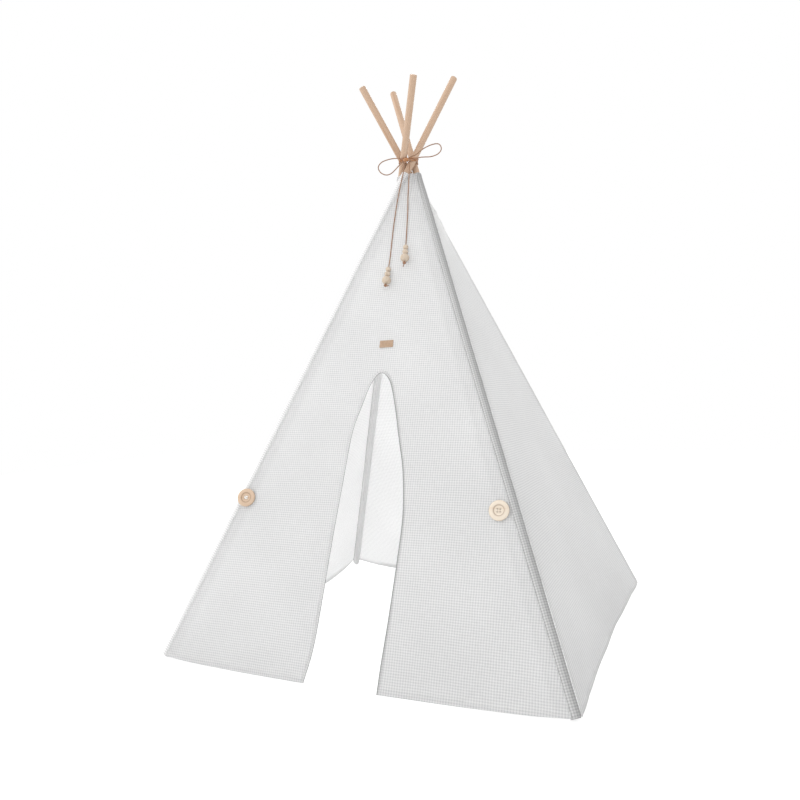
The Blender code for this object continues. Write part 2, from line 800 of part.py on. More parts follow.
def make_tie():
    make_lashing()
    make_bow()
    left = add_pivot("left_end_pivot", tie_place())
    right = add_pivot("right_end_pivot", tie_place())
    make_hanging_end("left", (-0.6, -0.1, -0.8), LEFT_DROP_ROUTE, LEFT_LYING_ROUTE, LEFT_CHAIN_END, left)
    make_hanging_end("right", (0.6, -0.1, -0.8), RIGHT_DROP_ROUTE, RIGHT_LYING_ROUTE, RIGHT_CHAIN_END, right)


poles = make_frame()
make_canopy(tie_place())
make_buttons(poles)
make_tie()
bpy.context.view_layer.update()
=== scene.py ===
import math

import bmesh
import bpy
import numpy as np
from mathutils import Matrix, Vector, noise


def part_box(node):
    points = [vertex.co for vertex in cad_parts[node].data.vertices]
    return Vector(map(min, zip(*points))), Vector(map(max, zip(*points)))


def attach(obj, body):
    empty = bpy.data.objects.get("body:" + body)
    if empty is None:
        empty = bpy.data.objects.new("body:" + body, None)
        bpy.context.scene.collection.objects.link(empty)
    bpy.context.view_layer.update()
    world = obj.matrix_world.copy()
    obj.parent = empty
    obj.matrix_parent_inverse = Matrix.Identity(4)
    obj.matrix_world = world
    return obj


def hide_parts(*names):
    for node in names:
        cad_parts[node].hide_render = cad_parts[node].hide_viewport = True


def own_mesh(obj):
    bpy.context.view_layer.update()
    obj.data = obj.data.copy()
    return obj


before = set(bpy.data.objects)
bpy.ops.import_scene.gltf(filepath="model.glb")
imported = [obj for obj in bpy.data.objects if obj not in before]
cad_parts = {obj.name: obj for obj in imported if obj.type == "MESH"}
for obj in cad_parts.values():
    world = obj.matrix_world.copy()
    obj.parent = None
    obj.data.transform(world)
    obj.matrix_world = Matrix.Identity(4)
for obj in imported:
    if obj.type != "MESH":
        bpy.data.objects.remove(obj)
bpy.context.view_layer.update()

# Sizes of the frame, in metres and degrees, as the CAD has them; a button as its height up the front,
# its way in from the pole and its turn
FOOT_SPACING = 1.10
POLE_LENGTH = 1.85
POLE_RADIUS = 0.010
POLE_END_ROUND = 0.003
CROWN = np.array((0.0155, -0.077, 1.3685))
CROWN_RADIUS = 0.019
CANOPY_DROP = 0.030
CANOPY_TOP = CROWN[2] - CANOPY_DROP
HEM_CLEARANCE = 0.002
FRONT_HEM_RISE = 0.006
REAR_HEM_RISE = 0.015
SLEEVE_RADIUS = 0.013
SEAM_EDGE = 0.0077
POCKET_FLOOR = 0.003
POCKET_ROUND = 0.003
FOOT_FLAT = 0.001
FOLD_DEPTH = 0.004
FOLD_COUNT = 3
RIGHT_FOLD_SHARE = 0.4
DOOR_HEIGHT = 0.787
DOOR_HALF_WIDTH = 0.100
DOOR_EDGE_SHARES = (
    (-0.95, 0.00), (-0.82, 0.10), (-0.78, 0.24), (-0.75, 0.44), (-0.70, 0.62), (-0.64, 0.79),
    (-0.48, 0.88), (-0.30, 0.96), (-0.05, 1.00), (0.24, 0.97), (0.49, 0.88), (0.70, 0.78),
    (0.95, 0.66), (1.10, 0.52), (1.10, 0.36), (1.07, 0.20), (1.03, 0.08), (1.02, 0.00),
)
BINDING_WIDTH = 0.008
BINDING_MIDDLE = -0.0007
LABEL_WIDTH = 0.040
LABEL_DEPTH = 0.021
LABEL_THICKNESS = 0.0014
LABEL_HEIGHT = 0.871
BUTTON_RADIUS = 0.025
BUTTON_THICKNESS = 0.0055
BUTTON_SHANK = 0.0018
DISH_RADIUS = 0.013
DISH_DEPTH = 0.0014
THREAD_HOLE_SPACING = 0.0065
THREAD_RADIUS = 0.00055
LEFT_BUTTON = (0.438, 0.0235, 18)
RIGHT_BUTTON = (0.427, 0.035, 0)
CORD_DIAMETER = 0.003
CORD_RADIUS = CORD_DIAMETER / 2
LASH_TURNS = 3
LASH_PITCH = 0.0036
LASH_RISE = 0.012
LASH_START_DEGREES = 150
KNOT_SIZE = Vector((0.018, 0.010, 0.011))
END_KNOT_SIZE = Vector((0.010, 0.010, 0.009))
BEAD_RADII = {"small_bead": 0.0075, "middle_bead": 0.00825, "large_bead": 0.0125}
GAP = 0.0003
CORD_STEP = 0.008

# Cord routes, as the CAD has them: round the bow's knot, then as side, height up the front and lift off it
LEFT_BOW_ROUTE = (
    (-0.0185, -0.001, 0.0073), (-0.0465, -0.004, 0.0093), (-0.0745, -0.006, 0.0043),
    (-0.0875, -0.006, -0.0087), (-0.0815, -0.005, -0.0247), (-0.0645, -0.004, -0.0350),
    (-0.0460, -0.003, -0.0325), (-0.0235, -0.001, -0.0145),
)
RIGHT_BOW_ROUTE = (
    (0.0315, -0.002, 0.0083), (0.0595, -0.005, 0.0213), (0.0885, -0.007, 0.0273),
    (0.1075, -0.007, 0.0245), (0.1140, -0.006, 0.0110), (0.1045, -0.005, -0.0010),
    (0.0810, -0.003, -0.0052), (0.0455, -0.002, -0.0012),
)
LEFT_DROP_ROUTE = ((-0.0055, -0.0030, -0.018), (-0.0080, -0.0065, -0.041))
LEFT_LYING_ROUTE = (
    (-0.0275, 1.330, 0.0042), (-0.0285, 1.260, 0.0022), (-0.0270, 1.190, 0.0020), (-0.0250, 1.140, 0.0030),
)
LEFT_CHAIN_END = (-0.0217, 1.0595)
RIGHT_DROP_ROUTE = ((0.0120, -0.0030, -0.018), (0.0115, -0.0055, -0.041))
RIGHT_LYING_ROUTE = (
    (0.0020, 1.330, 0.0042), (0.0075, 1.285, 0.0022), (0.0120, 1.235, 0.0022), (0.0155, 1.200, 0.0030),
)
RIGHT_CHAIN_END = (0.0240, 1.1245)

# Corners as right or left, back or front; walls as their corners from outside, hem belly, folds and hem rise
CORNERS = {"front_left": (-1, -1), "front_right": (1, -1), "back_right": (1, 1), "back_left": (-1, 1)}
WALLS = {
    "front_wall": ("front_left", "front_right", 0.014, 0, FRONT_HEM_RISE),
    "right_wall": ("front_right", "back_right", -0.014, FOLD_DEPTH * RIGHT_FOLD_SHARE, FRONT_HEM_RISE),
    "back_wall": ("back_right", "back_left", -0.065, FOLD_DEPTH, REAR_HEM_RISE),
    "left_wall": ("back_left", "front_left", -0.055, FOLD_DEPTH, REAR_HEM_RISE),
}
PANELS = {wall: wall.replace("wall", "panel") for wall in WALLS}

# Cloth as it is sewn
CLOTH = 0.0010
HEM_BAND = 0.0090
HEM_SWELL = 0.00045
CHECK_ACROSS = 0.0063
CHECK_UP = 0.0060
YARN = 0.00045
STITCH_PITCH = 0.0032
STITCH_LENGTH = 0.0023
STITCH_RADIUS = 0.00028
BINDING_LAP = 0.0012
BINDING_SEAM = 0.0058
BINDING_FACE = 0.00098

# Fineness
POLE_SIDES = 40
SLEEVE_SIDES = 48
BEAD_SIDES = 48
BUTTON_SIDES = 96
LASH_STEPS = 96
LASH_SIDES = 12
STITCH_SIDES = 5
TAIL_SIDES = 10
HOLE_SIDES = 16
THREAD_SIDES = 8
DOOR_STEP = 0.006
THREAD_STEP = 0.0008

# Camera, solved from the photograph
PICTURE_PIXELS = 800
FOCAL_PIXELS = 705.04
MIDDLE_PIXEL = 398.81
CAMERA_PLACE = (0.8397, -2.0161, 0.6850)
CAMERA_TURNS = ((24.496, "Z"), (-0.313, "X"), (2.018, "Y"), (90, "X"))

# Floor and light
FLOOR_HALF_SIZE = 6
FLOOR_DROP = 0.0004
FLOOR_GREY = (0.76, 0.76, 0.76, 1)
FLOOR_SEEN_GREY = (0.36, 0.36, 0.36, 1)
FLOOR_SEEN_GLOW = 0.78
WHITE = (1, 1, 1, 1)
STUDIO_LEVEL = 1.22
STUDIO_LEAN = (-0.37, -0.16, 0.16)
SUNS = ((-0.95, -0.30, 0.60, 0.30), (-0.26, 0.90, 0.50, 1.86))
SUN_DEGREES = 35


# Camera
def make_camera():
    data = bpy.data.cameras.new("camera")
    data.sensor_width = 36
    data.lens = FOCAL_PIXELS / PICTURE_PIXELS * data.sensor_width
    data.shift_x = 0.5 - MIDDLE_PIXEL / PICTURE_PIXELS
    camera = bpy.data.objects.new("camera", data)
    place = Matrix.Translation(CAMERA_PLACE)
    for degrees, axis in CAMERA_TURNS:
        place = place @ Matrix.Rotation(math.radians(degrees), 4, axis)
    camera.matrix_world = place
    bpy.context.scene.collection.objects.link(camera)
    bpy.context.scene.camera = camera


# Geometry of the frame: places are arrays whose last axis is x, y, z
def unit(v):
    return v / np.linalg.norm(v, axis=-1, keepdims=True)


def foot_of(corner):
    right, back = CORNERS[corner]
    return np.array((right, back, 0)) * FOOT_SPACING / 2


def crossing_of(corner):
    right, back = CORNERS[corner]
    return CROWN + unit(np.array((-back, right, 0.0))) * CROWN_RADIUS


def axis_at(corner, height):
    share = np.asarray(height, float)[..., None] / CROWN[2]
    return foot_of(corner) * (1 - share) + crossing_of(corner) * share


def direction_of(corner):
    return unit(crossing_of(corner) - foot_of(corner))


def reach_of(corner):
    return np.linalg.norm(crossing_of(corner) - foot_of(corner))


def sleeve_start(corner):
    lean = math.acos(direction_of(corner)[2])
    inner = SLEEVE_RADIUS - POCKET_ROUND
    return (inner * math.sin(lean) + POCKET_ROUND - FOOT_FLAT) / math.cos(lean) - POCKET_ROUND


def slant_of(wall, height):
    """How fast the distance square to a wall's poles grows with the share of the way across it."""
    left, right = WALLS[wall][:2]
    run = axis_at(right, height) - axis_at(left, height)
    return np.minimum(*(np.linalg.norm(np.cross(direction_of(c), run), axis=-1) for c in (left, right)))


def canopy_point(wall, across, height, lift=0.0):
    """A place on a wall's outer face: across it as a share, at a height, lifted off it."""
    left, right, belly_share, fold_depth = WALLS[wall][:4]
    across, height, lift = np.broadcast_arrays(across, height, lift)
    start, finish = axis_at(left, height), axis_at(right, height)
    run = finish - start
    rise = direction_of(left) + (direction_of(right) - direction_of(left)) * across[..., None]
    edge = SEAM_EDGE / slant_of(wall, height)
    inner = np.clip((across - edge) / (1 - 2 * edge), 0, 1)
    fall = 1 - height / CANOPY_TOP
    belly = belly_share * np.sum(run**2, axis=-1) / FOOT_SPACING * 4 * inner * (1 - inner)
    folds = fold_depth * fall * np.sin(np.pi * inner) ** 2 * np.sin(2 * np.pi * FOLD_COUNT * inner)
    out = unit(np.cross(run, rise))
    return start + run * across[..., None] + out * (SLEEVE_RADIUS + belly + folds + lift)[..., None]


def wall_axes(wall):
    """The middle of a wall's foot line, and the directions across the wall, up it and out of it."""
    left, right = WALLS[wall][:2]
    foot = (foot_of(left) + foot_of(right)) / 2
    side = unit(foot_of(right) - foot_of(left))
    out = unit(np.cross(side, (crossing_of(left) + crossing_of(right)) / 2 - foot))
    return foot, side, np.cross(out, side), out


def front_slope():
    foot = (foot_of("front_left") + foot_of("front_right")) / 2
    return np.linalg.norm((crossing_of("front_left") + crossing_of("front_right")) / 2 - foot)


def front_point(side, slope, lift=0.0):
    """A place on the front wall: side from its middle line, and height measured up the slope."""
    height = np.asarray(slope, float) * CROWN[2] / front_slope()
    run = np.linalg.norm(axis_at("front_right", height) - axis_at("front_left", height), axis=-1)
    return canopy_point("front_wall", 0.5 + side / run, height, lift)


def front_frame(side, slope, lift=0.0):
    """A frame on the front wall: X across, Y up it, Z out of it."""
    right = front_point(side + CLOTH, slope) - front_point(side - CLOTH, slope)
    up = front_point(side, slope + CLOTH) - front_point(side, slope - CLOTH)
    x = unit(right)
    z = unit(np.cross(right, up))
    turn = Matrix((x, np.cross(z, x), z)).transposed().to_4x4()
    return Matrix.Translation(front_point(side, slope, lift)) @ turn


def button_frame(hand, slope, inset, turned):
    """A button's frame, turned on its thread, and the place on the cloth under its middle."""
    height = slope * CROWN[2] / front_slope()
    run = np.linalg.norm(axis_at("front_right", height) - axis_at("front_left", height))
    side, angle = hand * (run / 2 - inset), math.radians(turned)
    frame_out = front_frame(side, slope, BUTTON_SHANK + BUTTON_RADIUS * math.sin(angle))
    return frame_out @ Matrix.Rotation(angle, 4, "Y"), Vector(front_point(side, slope, THREAD_RADIUS + GAP))


def hem_slope():
    slope = 0.0
    for _ in range(4):
        slope += (HEM_CLEARANCE - front_point(0, slope)[2]) * front_slope() / CROWN[2]
    return slope


def smooth_route(points, step):
    """Places about a step apart on one smooth curve through the points."""
    points = [Vector(p) for p in points]
    ends = [points[0] * 2 - points[1], *points, points[-1] * 2 - points[-2]]
    route = [points[0]]
    for before, start, finish, after in zip(ends, ends[1:], ends[2:], ends[3:]):
        count = max(1, round((finish - start).length / step))
        for i in range(1, count + 1):
            t = i / count
            bend = (finish - before) * t
            bend += (before * 2 - start * 5 + finish * 4 - after) * t**2
            bend += (start * 3 - before - finish * 3 + after) * t**3
            route.append(start + bend / 2)
    return route


def distance_along(path):
    """How far along a path each of its places lies."""
    return np.concatenate(([0], np.cumsum(np.linalg.norm(np.diff(path, axis=0), axis=1))))


# Shader nodes
class Nodes:
    """A node tree under construction. Its calls return sockets, apart from add, feed and feed_all."""

    def __init__(self, tree):
        self.tree = tree

    def add(self, kind, *values, **settings):
        node = self.tree.nodes.new("ShaderNode" + kind)
        for key, value in settings.items():
            setattr(node, key, value)
        for socket, value in zip([s for s in node.inputs if s.enabled], values):
            self.feed(socket, value)
        return node

    def feed(self, socket, value):
        if isinstance(value, bpy.types.NodeSocket):
            self.tree.links.new(value, socket)
        elif value is not None:
            socket.default_value = value

    def feed_all(self, node, values):
        for name, value in values.items():
            self.feed(node.inputs[name], value)

    def maths(self, operation, *values, clamp=False):
        return self.add("Math", *values, operation=operation, use_clamp=clamp).outputs[0]

    def vector(self, operation, *values):
        return self.add("VectorMath", *values, operation=operation).outputs[0]

    def attribute(self, name):
        return self.add("Attribute", attribute_name=name).outputs["Vector"]

    def split(self, vector):
        return self.add("SeparateXYZ", vector).outputs

    def noise(self, vector, scale, detail=2.0, roughness=0.5, stretch=(1, 1, 1)):
        """Noise from 0 to 1, at a scale in features to the metre, stretched per axis."""
        if stretch != (1, 1, 1):
            vector = self.vector("MULTIPLY", vector, stretch)
        node = self.add("TexNoise")
        self.feed_all(node, {"Vector": vector, "Scale": scale, "Detail": detail, "Roughness": roughness})
        return node.outputs[0]

    def span(self, value, low, high, to_low=0.0, to_high=1.0, smooth=True):
        """Maps a value from one span to another."""
        node = self.add("MapRange", interpolation_type="SMOOTHSTEP" if smooth else "LINEAR")
        for socket, given in zip(node.inputs[:5], (value, low, high, to_low, to_high)):
            self.feed(socket, given)
        return node.outputs[0]

    def blend(self, share, first, second, mode="MIX"):
        node = self.add("Mix", data_type="RGBA", blend_type=mode)
        for index, given in ((0, share), (6, first), (7, second)):
            self.feed(node.inputs[index], given)
        return node.outputs[2]

    def ramp(self, value, *stops):
        node = self.add("ValToRGB", value)
        elements = node.color_ramp.elements
        while len(elements) < len(stops):
            elements.new(0.5)
        for element, (place, colour) in zip(elements, stops):
            element.position = place
            element.color = (*colour, 1)
        return node.outputs[0]

    def bump(self, height, distance, strength=1.0):
        node = self.add("Bump")
        self.feed_all(node, {"Height": height, "Distance": distance, "Strength": strength})
        return node.outputs[0]


class Shades(Nodes):
    """A material under construction."""

    def __init__(self, name):
        self.material = bpy.data.materials.new(name)
        self.material.use_nodes = True
        super().__init__(self.material.node_tree)
        self.shader = self.tree.nodes["Principled BSDF"]
        self.output = self.tree.nodes["Material Output"]

    def finish(self, colour, roughness, normal, sheen=0.0, specular=0.3, through=None):
        """Connects the look. Through is the share of the light that passes a thin cloth."""
        self.feed_all(self.shader, {"Base Color": colour, "Roughness": roughness, "Normal": normal})
        self.feed_all(self.shader, {"Sheen Weight": sheen, "Specular IOR Level": specular})
        if through is not None:
            glow = self.add("BsdfTranslucent", colour, normal)
            mix = self.add("MixShader", through, self.shader.outputs[0], glow.outputs[0])
            self.feed(self.output.inputs["Surface"], mix.outputs[0])
        return self.material


WHITE_YARN = (0.965, 0.965, 0.96, 1)
GREY_YARN = (0.76, 0.76, 0.765, 1)
# Painted light: the paler cloth colour blended in where light is painted onto the cloth
PAINTED_LIGHT_CLOTH = (0.985, 0.985, 0.98, 1)
WARP_WANDER = 0.004


def make_gingham(name, through, doubled_white=0.93, doubled_grey=0.91, painted_crease_shade=0.5):
    """Small check cloth. Its cloth attribute holds metres across and up the cut, and how doubled it is, with
    painted
    light and shade: -1 is painted light, paler and letting more through, 0 single, 1 double or with wood
    behind it, and 2 a painted crease shade."""
    s = Shades(name)
    cloth = s.attribute("cloth")
    flat = s.vector("MULTIPLY", cloth, (1, 1, 0))
    across, up, doubling_and_painted_light = s.split(cloth)
    across = s.maths("ADD", across, s.maths("MULTIPLY", s.noise(flat, 14), WARP_WANDER))
    up = s.maths("ADD", up, s.maths("MULTIPLY", s.noise(flat, 11), WARP_WANDER))
    stripes = []
    for along, period in ((across, CHECK_ACROSS), (up, CHECK_UP)):
        wave = s.maths("SINE", s.maths("MULTIPLY", along, 2 * math.pi / period))
        stripes.append(s.span(wave, -0.3, 0.3))
    warp = s.maths("SINE", s.maths("MULTIPLY", across, 2 * math.pi / YARN))
    weft = s.maths("SINE", s.maths("MULTIPLY", up, 2 * math.pi / YARN))
    weave = s.maths("MULTIPLY", warp, weft)
    over = s.span(weave, -0.6, 0.6, 0.33, 0.67)
    grey_share = s.add("Mix", over, stripes[0], stripes[1], data_type="FLOAT").outputs[0]
    single = s.blend(grey_share, WHITE_YARN, GREY_YARN)
    shares = ((WHITE_YARN, doubled_white), (GREY_YARN, doubled_grey))
    double = s.blend(grey_share, *((*(part * share for part in yarn[:3]), 1) for yarn, share in shares))
    colour = s.blend(s.span(doubling_and_painted_light, 0, 1), single, double)
    slubs = s.maths("ADD", *(s.noise(cloth, 60, 3, stretch=way) for way in ((12, 1, 0), (1, 12, 0))))
    slubs = s.span(slubs, 0.7, 1.3, 0.95, 1.04, smooth=False)
    clouds = s.span(s.noise(flat, 3.5, 3), 0.3, 0.7, 0.975, 1.015, smooth=False)
    shade = s.maths("MULTIPLY", slubs, clouds)
    # painted crease shade: from 1 to 2 the colour darkens towards the crease factor
    shade = s.maths("MULTIPLY", shade, s.span(doubling_and_painted_light, 1, 2, 1.0, painted_crease_shade))
    colour = s.blend(1.0, colour, s.add("CombineXYZ", shade, shade, shade).outputs[0], mode="MULTIPLY")
    creases = s.noise(flat, 38, 4, 0.6)
    height = s.maths("ADD", s.maths("MULTIPLY", weave, 0.10), s.maths("MULTIPLY", slubs, 2.0))
    height = s.maths("ADD", height, creases)
    roughness = s.span(s.noise(flat, 400), 0.3, 0.7, 0.82, 0.95, smooth=False)
    # painted light: below 0 the cloth is paler and lets more light through
    painted_paleness = s.span(doubling_and_painted_light, -1, 0, 1, 0, smooth=False)
    colour = s.blend(painted_paleness, colour, PAINTED_LIGHT_CLOTH)
    light = None
    if through:
        light = s.span(doubling_and_painted_light, 0, 1, through, through * 0.8, smooth=False)
        light = s.maths("ADD", light, s.maths("MULTIPLY", painted_paleness, 0.2))
    return s.finish(colour, roughness, s.bump(height, 0.0004, 0.5), sheen=0.12, specular=0.2, through=light)


# Painted shade: the dark wood colour blended in at a button's groove, holes and side
PAINTED_SHADE_WOOD = (0.16, 0.085, 0.04, 1)
WOOD_ROUGHNESS = (0.6, 0.45)


def make_wood(name, light, dark, streak, rings=1.0):
    """Turned wood. The grain attribute holds metres, with its third axis along the grain."""
    s = Shades(name)
    grain = s.attribute("grain")
    bend = s.noise(grain, 5, 2, stretch=(1, 1, 0.6))
    broad = s.noise(grain, 110 * rings, 3, 0.55, stretch=(1, 1, 0.035))
    broad = s.maths("ADD", broad, s.maths("MULTIPLY", bend, 0.35))
    rays = s.noise(grain, 600, 2, 0.6, stretch=(1, 1, 0.02))
    flecks = s.noise(grain, 380, 2, 0.6, stretch=(1.6, 1.6, 0.03))
    tone = s.maths("SUBTRACT", broad, 0.17)
    colour = s.ramp(tone, (0.25, dark), (0.48, light), (0.60, light), (0.78, streak))
    colour = s.blend(s.span(rays, 0.45, 0.75, 0, 0.30), colour, (*dark, 1))
    colour = s.blend(s.span(flecks, 0.62, 0.74, 0, 0.35), colour, (*streak, 1))
    # painted shade in a button's dish groove, down its holes and round its side
    painted_hollow_shade = s.split(s.attribute("painted_hollow_shade"))[0]
    colour = s.blend(painted_hollow_shade, colour, s.blend(0.62, colour, PAINTED_SHADE_WOOD))
    height = s.maths("ADD", s.maths("MULTIPLY", rays, 0.7), s.maths("MULTIPLY", broad, 0.5))
    gloss = s.span(s.maths("ADD", rays, broad), 0.7, 1.3, *WOOD_ROUGHNESS, smooth=False)
    return s.finish(colour, gloss, s.bump(height, 0.0001, 0.3), specular=0.22)


def make_suede(name, light, dark):
    s = Shades(name)
    place = s.add("TexCoord").outputs["Object"]
    nap = s.noise(place, 1800, 4, 0.7)
    patches = s.noise(place, 160, 3)
    tone = s.maths("ADD", s.maths("MULTIPLY", nap, 0.5), s.maths("MULTIPLY", patches, 0.5))
    colour = s.ramp(tone, (0.32, dark), (0.68, light))
    roughness = s.span(nap, 0.3, 0.7, 0.85, 0.98)
    return s.finish(colour, roughness, s.bump(nap, 0.0004, 0.8), sheen=0.35, specular=0.15)


def make_leather(name, light, dark):
    s = Shades(name)
    place = s.add("TexCoord").outputs["Object"]
    pores = s.add("TexVoronoi", feature="F1")
    s.feed_all(pores, {"Vector": place, "Scale": 1300})
    patches = s.noise(place, 120, 4, 0.6)
    fine = s.noise(place, 2500, 3, 0.6)
    colour = s.ramp(patches, (0.3, dark), (0.7, light))
    colour = s.blend(s.span(pores.outputs[0], 0.0, 0.35, 0.35, 0.0), colour, (*dark, 1))
    height = s.maths("ADD", pores.outputs[0], s.maths("MULTIPLY", fine, 0.5))
    return s.finish(colour, s.span(patches, 0.3, 0.7, 0.5, 0.68), s.bump(height, 0.0003, 0.6), sheen=0.05)


def make_cotton(name, light, dark):
    """Sewing thread, twisted from two plies."""
    s = Shades(name)
    place = s.add("TexCoord").outputs["Object"]
    fuzz = s.noise(place, 3000, 3, 0.7)
    plies = s.noise(place, 900, 2, 0.5)
    colour = s.ramp(s.maths("MULTIPLY", s.maths("ADD", fuzz, plies), 0.5), (0.35, dark), (0.65, light))
    roughness = s.span(fuzz, 0.3, 0.7, 0.75, 0.9)
    return s.finish(colour, roughness, s.bump(plies, 0.0003, 0.7), sheen=0.2, specular=0.2)


# Mesh helpers
def new_piece(name, points, faces, material, sharp=40, smooth=True):
    mesh = bpy.data.meshes.new(name)
    mesh.from_pydata([tuple(p) for p in points], [], [tuple(f) for f in faces])
    mesh.validate()
    form = bmesh.new()
    form.from_mesh(mesh)
    bmesh.ops.recalc_face_normals(form, faces=form.faces)
    form.to_mesh(mesh)
    form.free()
    if smooth:
        mesh.shade_smooth()
        mesh.set_sharp_from_angle(angle=math.radians(sharp))
    mesh.materials.append(material)
    piece = bpy.data.objects.new(name, mesh)
    bpy.context.scene.collection.objects.link(piece)
    return piece


def grid_faces(rows, columns, start=0, wrap=False):
    """Quads over a grid of points in rows; wrap joins its last column to its first."""
    faces = []
    for i in range(rows - 1):
        for j in range(columns if wrap else columns - 1):
            k = (j + 1) % columns
            a, b = start + i * columns, start + (i + 1) * columns
            faces.append((a + j, a + k, b + k, b + j))
    return faces


def ring_faces(first, second, sides):
    """Quads between two rings of points, by the number of each ring's first point."""
    pairs = [(j, (j + 1) % sides) for j in range(sides)]
    return [(first + j, first + k, second + k, second + j) for j, k in pairs]


def sheet_shell(outer, inner):
    """Points and faces of a closed sheet between two grids."""
    rows, columns = outer.shape[:2]
    points = np.concatenate((outer.reshape(-1, 3), inner.reshape(-1, 3)))
    far = rows * columns
    faces = grid_faces(rows, columns) + [f[::-1] for f in grid_faces(rows, columns, far)]
    rim = [(0, j) for j in range(columns)] + [(i, columns - 1) for i in range(1, rows)]
    rim += [(rows - 1, j) for j in range(columns - 2, -1, -1)] + [(i, 0) for i in range(rows - 2, 0, -1)]
    rim = [i * columns + j for i, j in rim]
    faces += [(b, a, a + far, b + far) for a, b in zip(rim, rim[1:] + rim[:1])]
    return points, faces


def grid_normals(grid):
    across = np.gradient(grid, axis=1)
    up = np.gradient(grid, axis=0)
    return unit(np.cross(across, up))


def set_vectors(piece, name, values):
    attribute = piece.data.attributes.new(name, "FLOAT_VECTOR", "POINT")
    attribute.data.foreach_set("vector", np.asarray(values, np.float32).ravel())


def points_of(piece):
    values = np.zeros(len(piece.data.vertices) * 3)
    piece.data.vertices.foreach_get("co", values)
    return values.reshape(-1, 3)


def rough(points, size, seed):
    """Smooth noise from about -1 to 1 at each point, with features of a size."""
    shift = Vector((seed, seed * 2, seed * 3))
    values = [noise.noise(Vector(p) / size + shift) for p in points.reshape(-1, 3)]
    return np.array(values).reshape(points.shape[:-1])


def cut_away(piece, cutter):
    """Takes the cutter's shape out of a piece, and removes the cutter."""
    modifier = piece.modifiers.new("cut", "BOOLEAN")
    modifier.operation = "DIFFERENCE"
    modifier.solver = "EXACT"
    modifier.object = cutter
    bpy.context.view_layer.update()
    graph = bpy.context.evaluated_depsgraph_get()
    mesh = bpy.data.meshes.new_from_object(piece.evaluated_get(graph))
    piece.modifiers.clear()
    piece.data = mesh
    bpy.data.objects.remove(cutter)


def turned_points(profile, sides):
    """Rings of points round Z, from a profile of radius and height."""
    angles = [2 * math.pi * j / sides for j in range(sides)]
    return [Vector((r * math.cos(a), r * math.sin(a), up)) for r, up in profile for a in angles]


def tube_grid(path, radii, sides):
    """Rings round a path: an array of rings of points, with the ring frames carried along without twist."""
    path = np.asarray([tuple(p) for p in path], float)
    tangents = unit(np.gradient(path, axis=0))
    guide = np.array((0.0, 0.0, 1.0)) if abs(tangents[0][2]) < 0.9 else np.array((1.0, 0.0, 0.0))
    normal = unit(guide - tangents[0] * np.dot(guide, tangents[0]))
    rings = []
    angles = np.linspace(0, 2 * np.pi, sides, endpoint=False)
    for place, tangent, radius in zip(path, tangents, np.broadcast_to(radii, len(path))):
        normal = unit(normal - tangent * np.dot(normal, tangent))
        other = np.cross(tangent, normal)
        rings.append(place + radius * (np.cos(angles)[:, None] * normal + np.sin(angles)[:, None] * other))
    return np.array(rings)


def tube_faces(rings, sides, start=0):
    faces = grid_faces(rings, sides, start, wrap=True)
    last = start + (rings - 1) * sides
    return faces + [tuple(range(start, start + sides))[::-1], tuple(range(last, last + sides))]


def make_tubes(name, paths, radius, sides, material, tips=0.35):
    """One piece of several round strands, each with rounded tips."""
    points, faces = [], []
    for path in paths:
        radii = np.full(len(path), float(radius))
        radii[0] = radii[-1] = radius * tips
        rings = tube_grid(path, radii, sides)
        faces += tube_faces(len(path), sides, len(points))
        points += list(rings.reshape(-1, 3))
    return new_piece(name, points, faces, material)


def make_curve(name, route, radius, material):
    """A cord as a curve of one open spline."""
    data = bpy.data.curves.new(name, "CURVE")
    data.dimensions = "3D"
    spline = data.splines.new("POLY")
    spline.points.add(len(route) - 1)
    for knot, place in zip(spline.points, route):
        knot.co = (*place, 1)
    spline.use_smooth = True
    data.bevel_depth = radius
    data.bevel_resolution = 4
    data.use_fill_caps = True
    data.materials.append(material)
    piece = bpy.data.objects.new(name, data)
    bpy.context.scene.collection.objects.link(piece)
    return piece


def make_stitches(name, rows, material):
    """Rows of sewn stitches. A row is its places and the cloth's outward directions there."""
    points, faces = [], []
    angles = np.linspace(0, 2 * np.pi, STITCH_SIDES, endpoint=False)
    for path, outward in rows:
        path, outward = np.asarray(path, float), unit(np.asarray(outward, float))
        along = distance_along(path)
        for start in np.arange(STITCH_PITCH / 2, along[-1] - STITCH_LENGTH, STITCH_PITCH):
            marks = start + STITCH_LENGTH * np.array((0, 0.3, 0.7, 1))
            line = np.stack([np.interp(marks, along, path[:, k]) for k in range(3)], axis=1)
            out = unit(np.stack([np.interp(marks, along, outward[:, k]) for k in range(3)], axis=1))
            side = unit(np.cross(unit(line[-1] - line[0]), out))
            line += out * STITCH_RADIUS * np.array((-0.4, 0.7, 0.7, -0.4))[:, None]
            radii = STITCH_RADIUS * np.array((0.4, 1, 1, 0.4))
            rings = line[:, None] + radii[:, None, None] * (
                np.cos(angles)[None, :, None] * side[:, None] + np.sin(angles)[None, :, None] * out[:, None]
            )
            faces += tube_faces(len(marks), STITCH_SIDES, len(points))
            points += list(rings.reshape(-1, 3))
    return new_piece(name, points, faces, material)


def fold_with(piece, wall):
    """The piece rides on its wall's panel, with a mesh of its own."""
    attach(piece, PANELS[wall])
    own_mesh(piece)


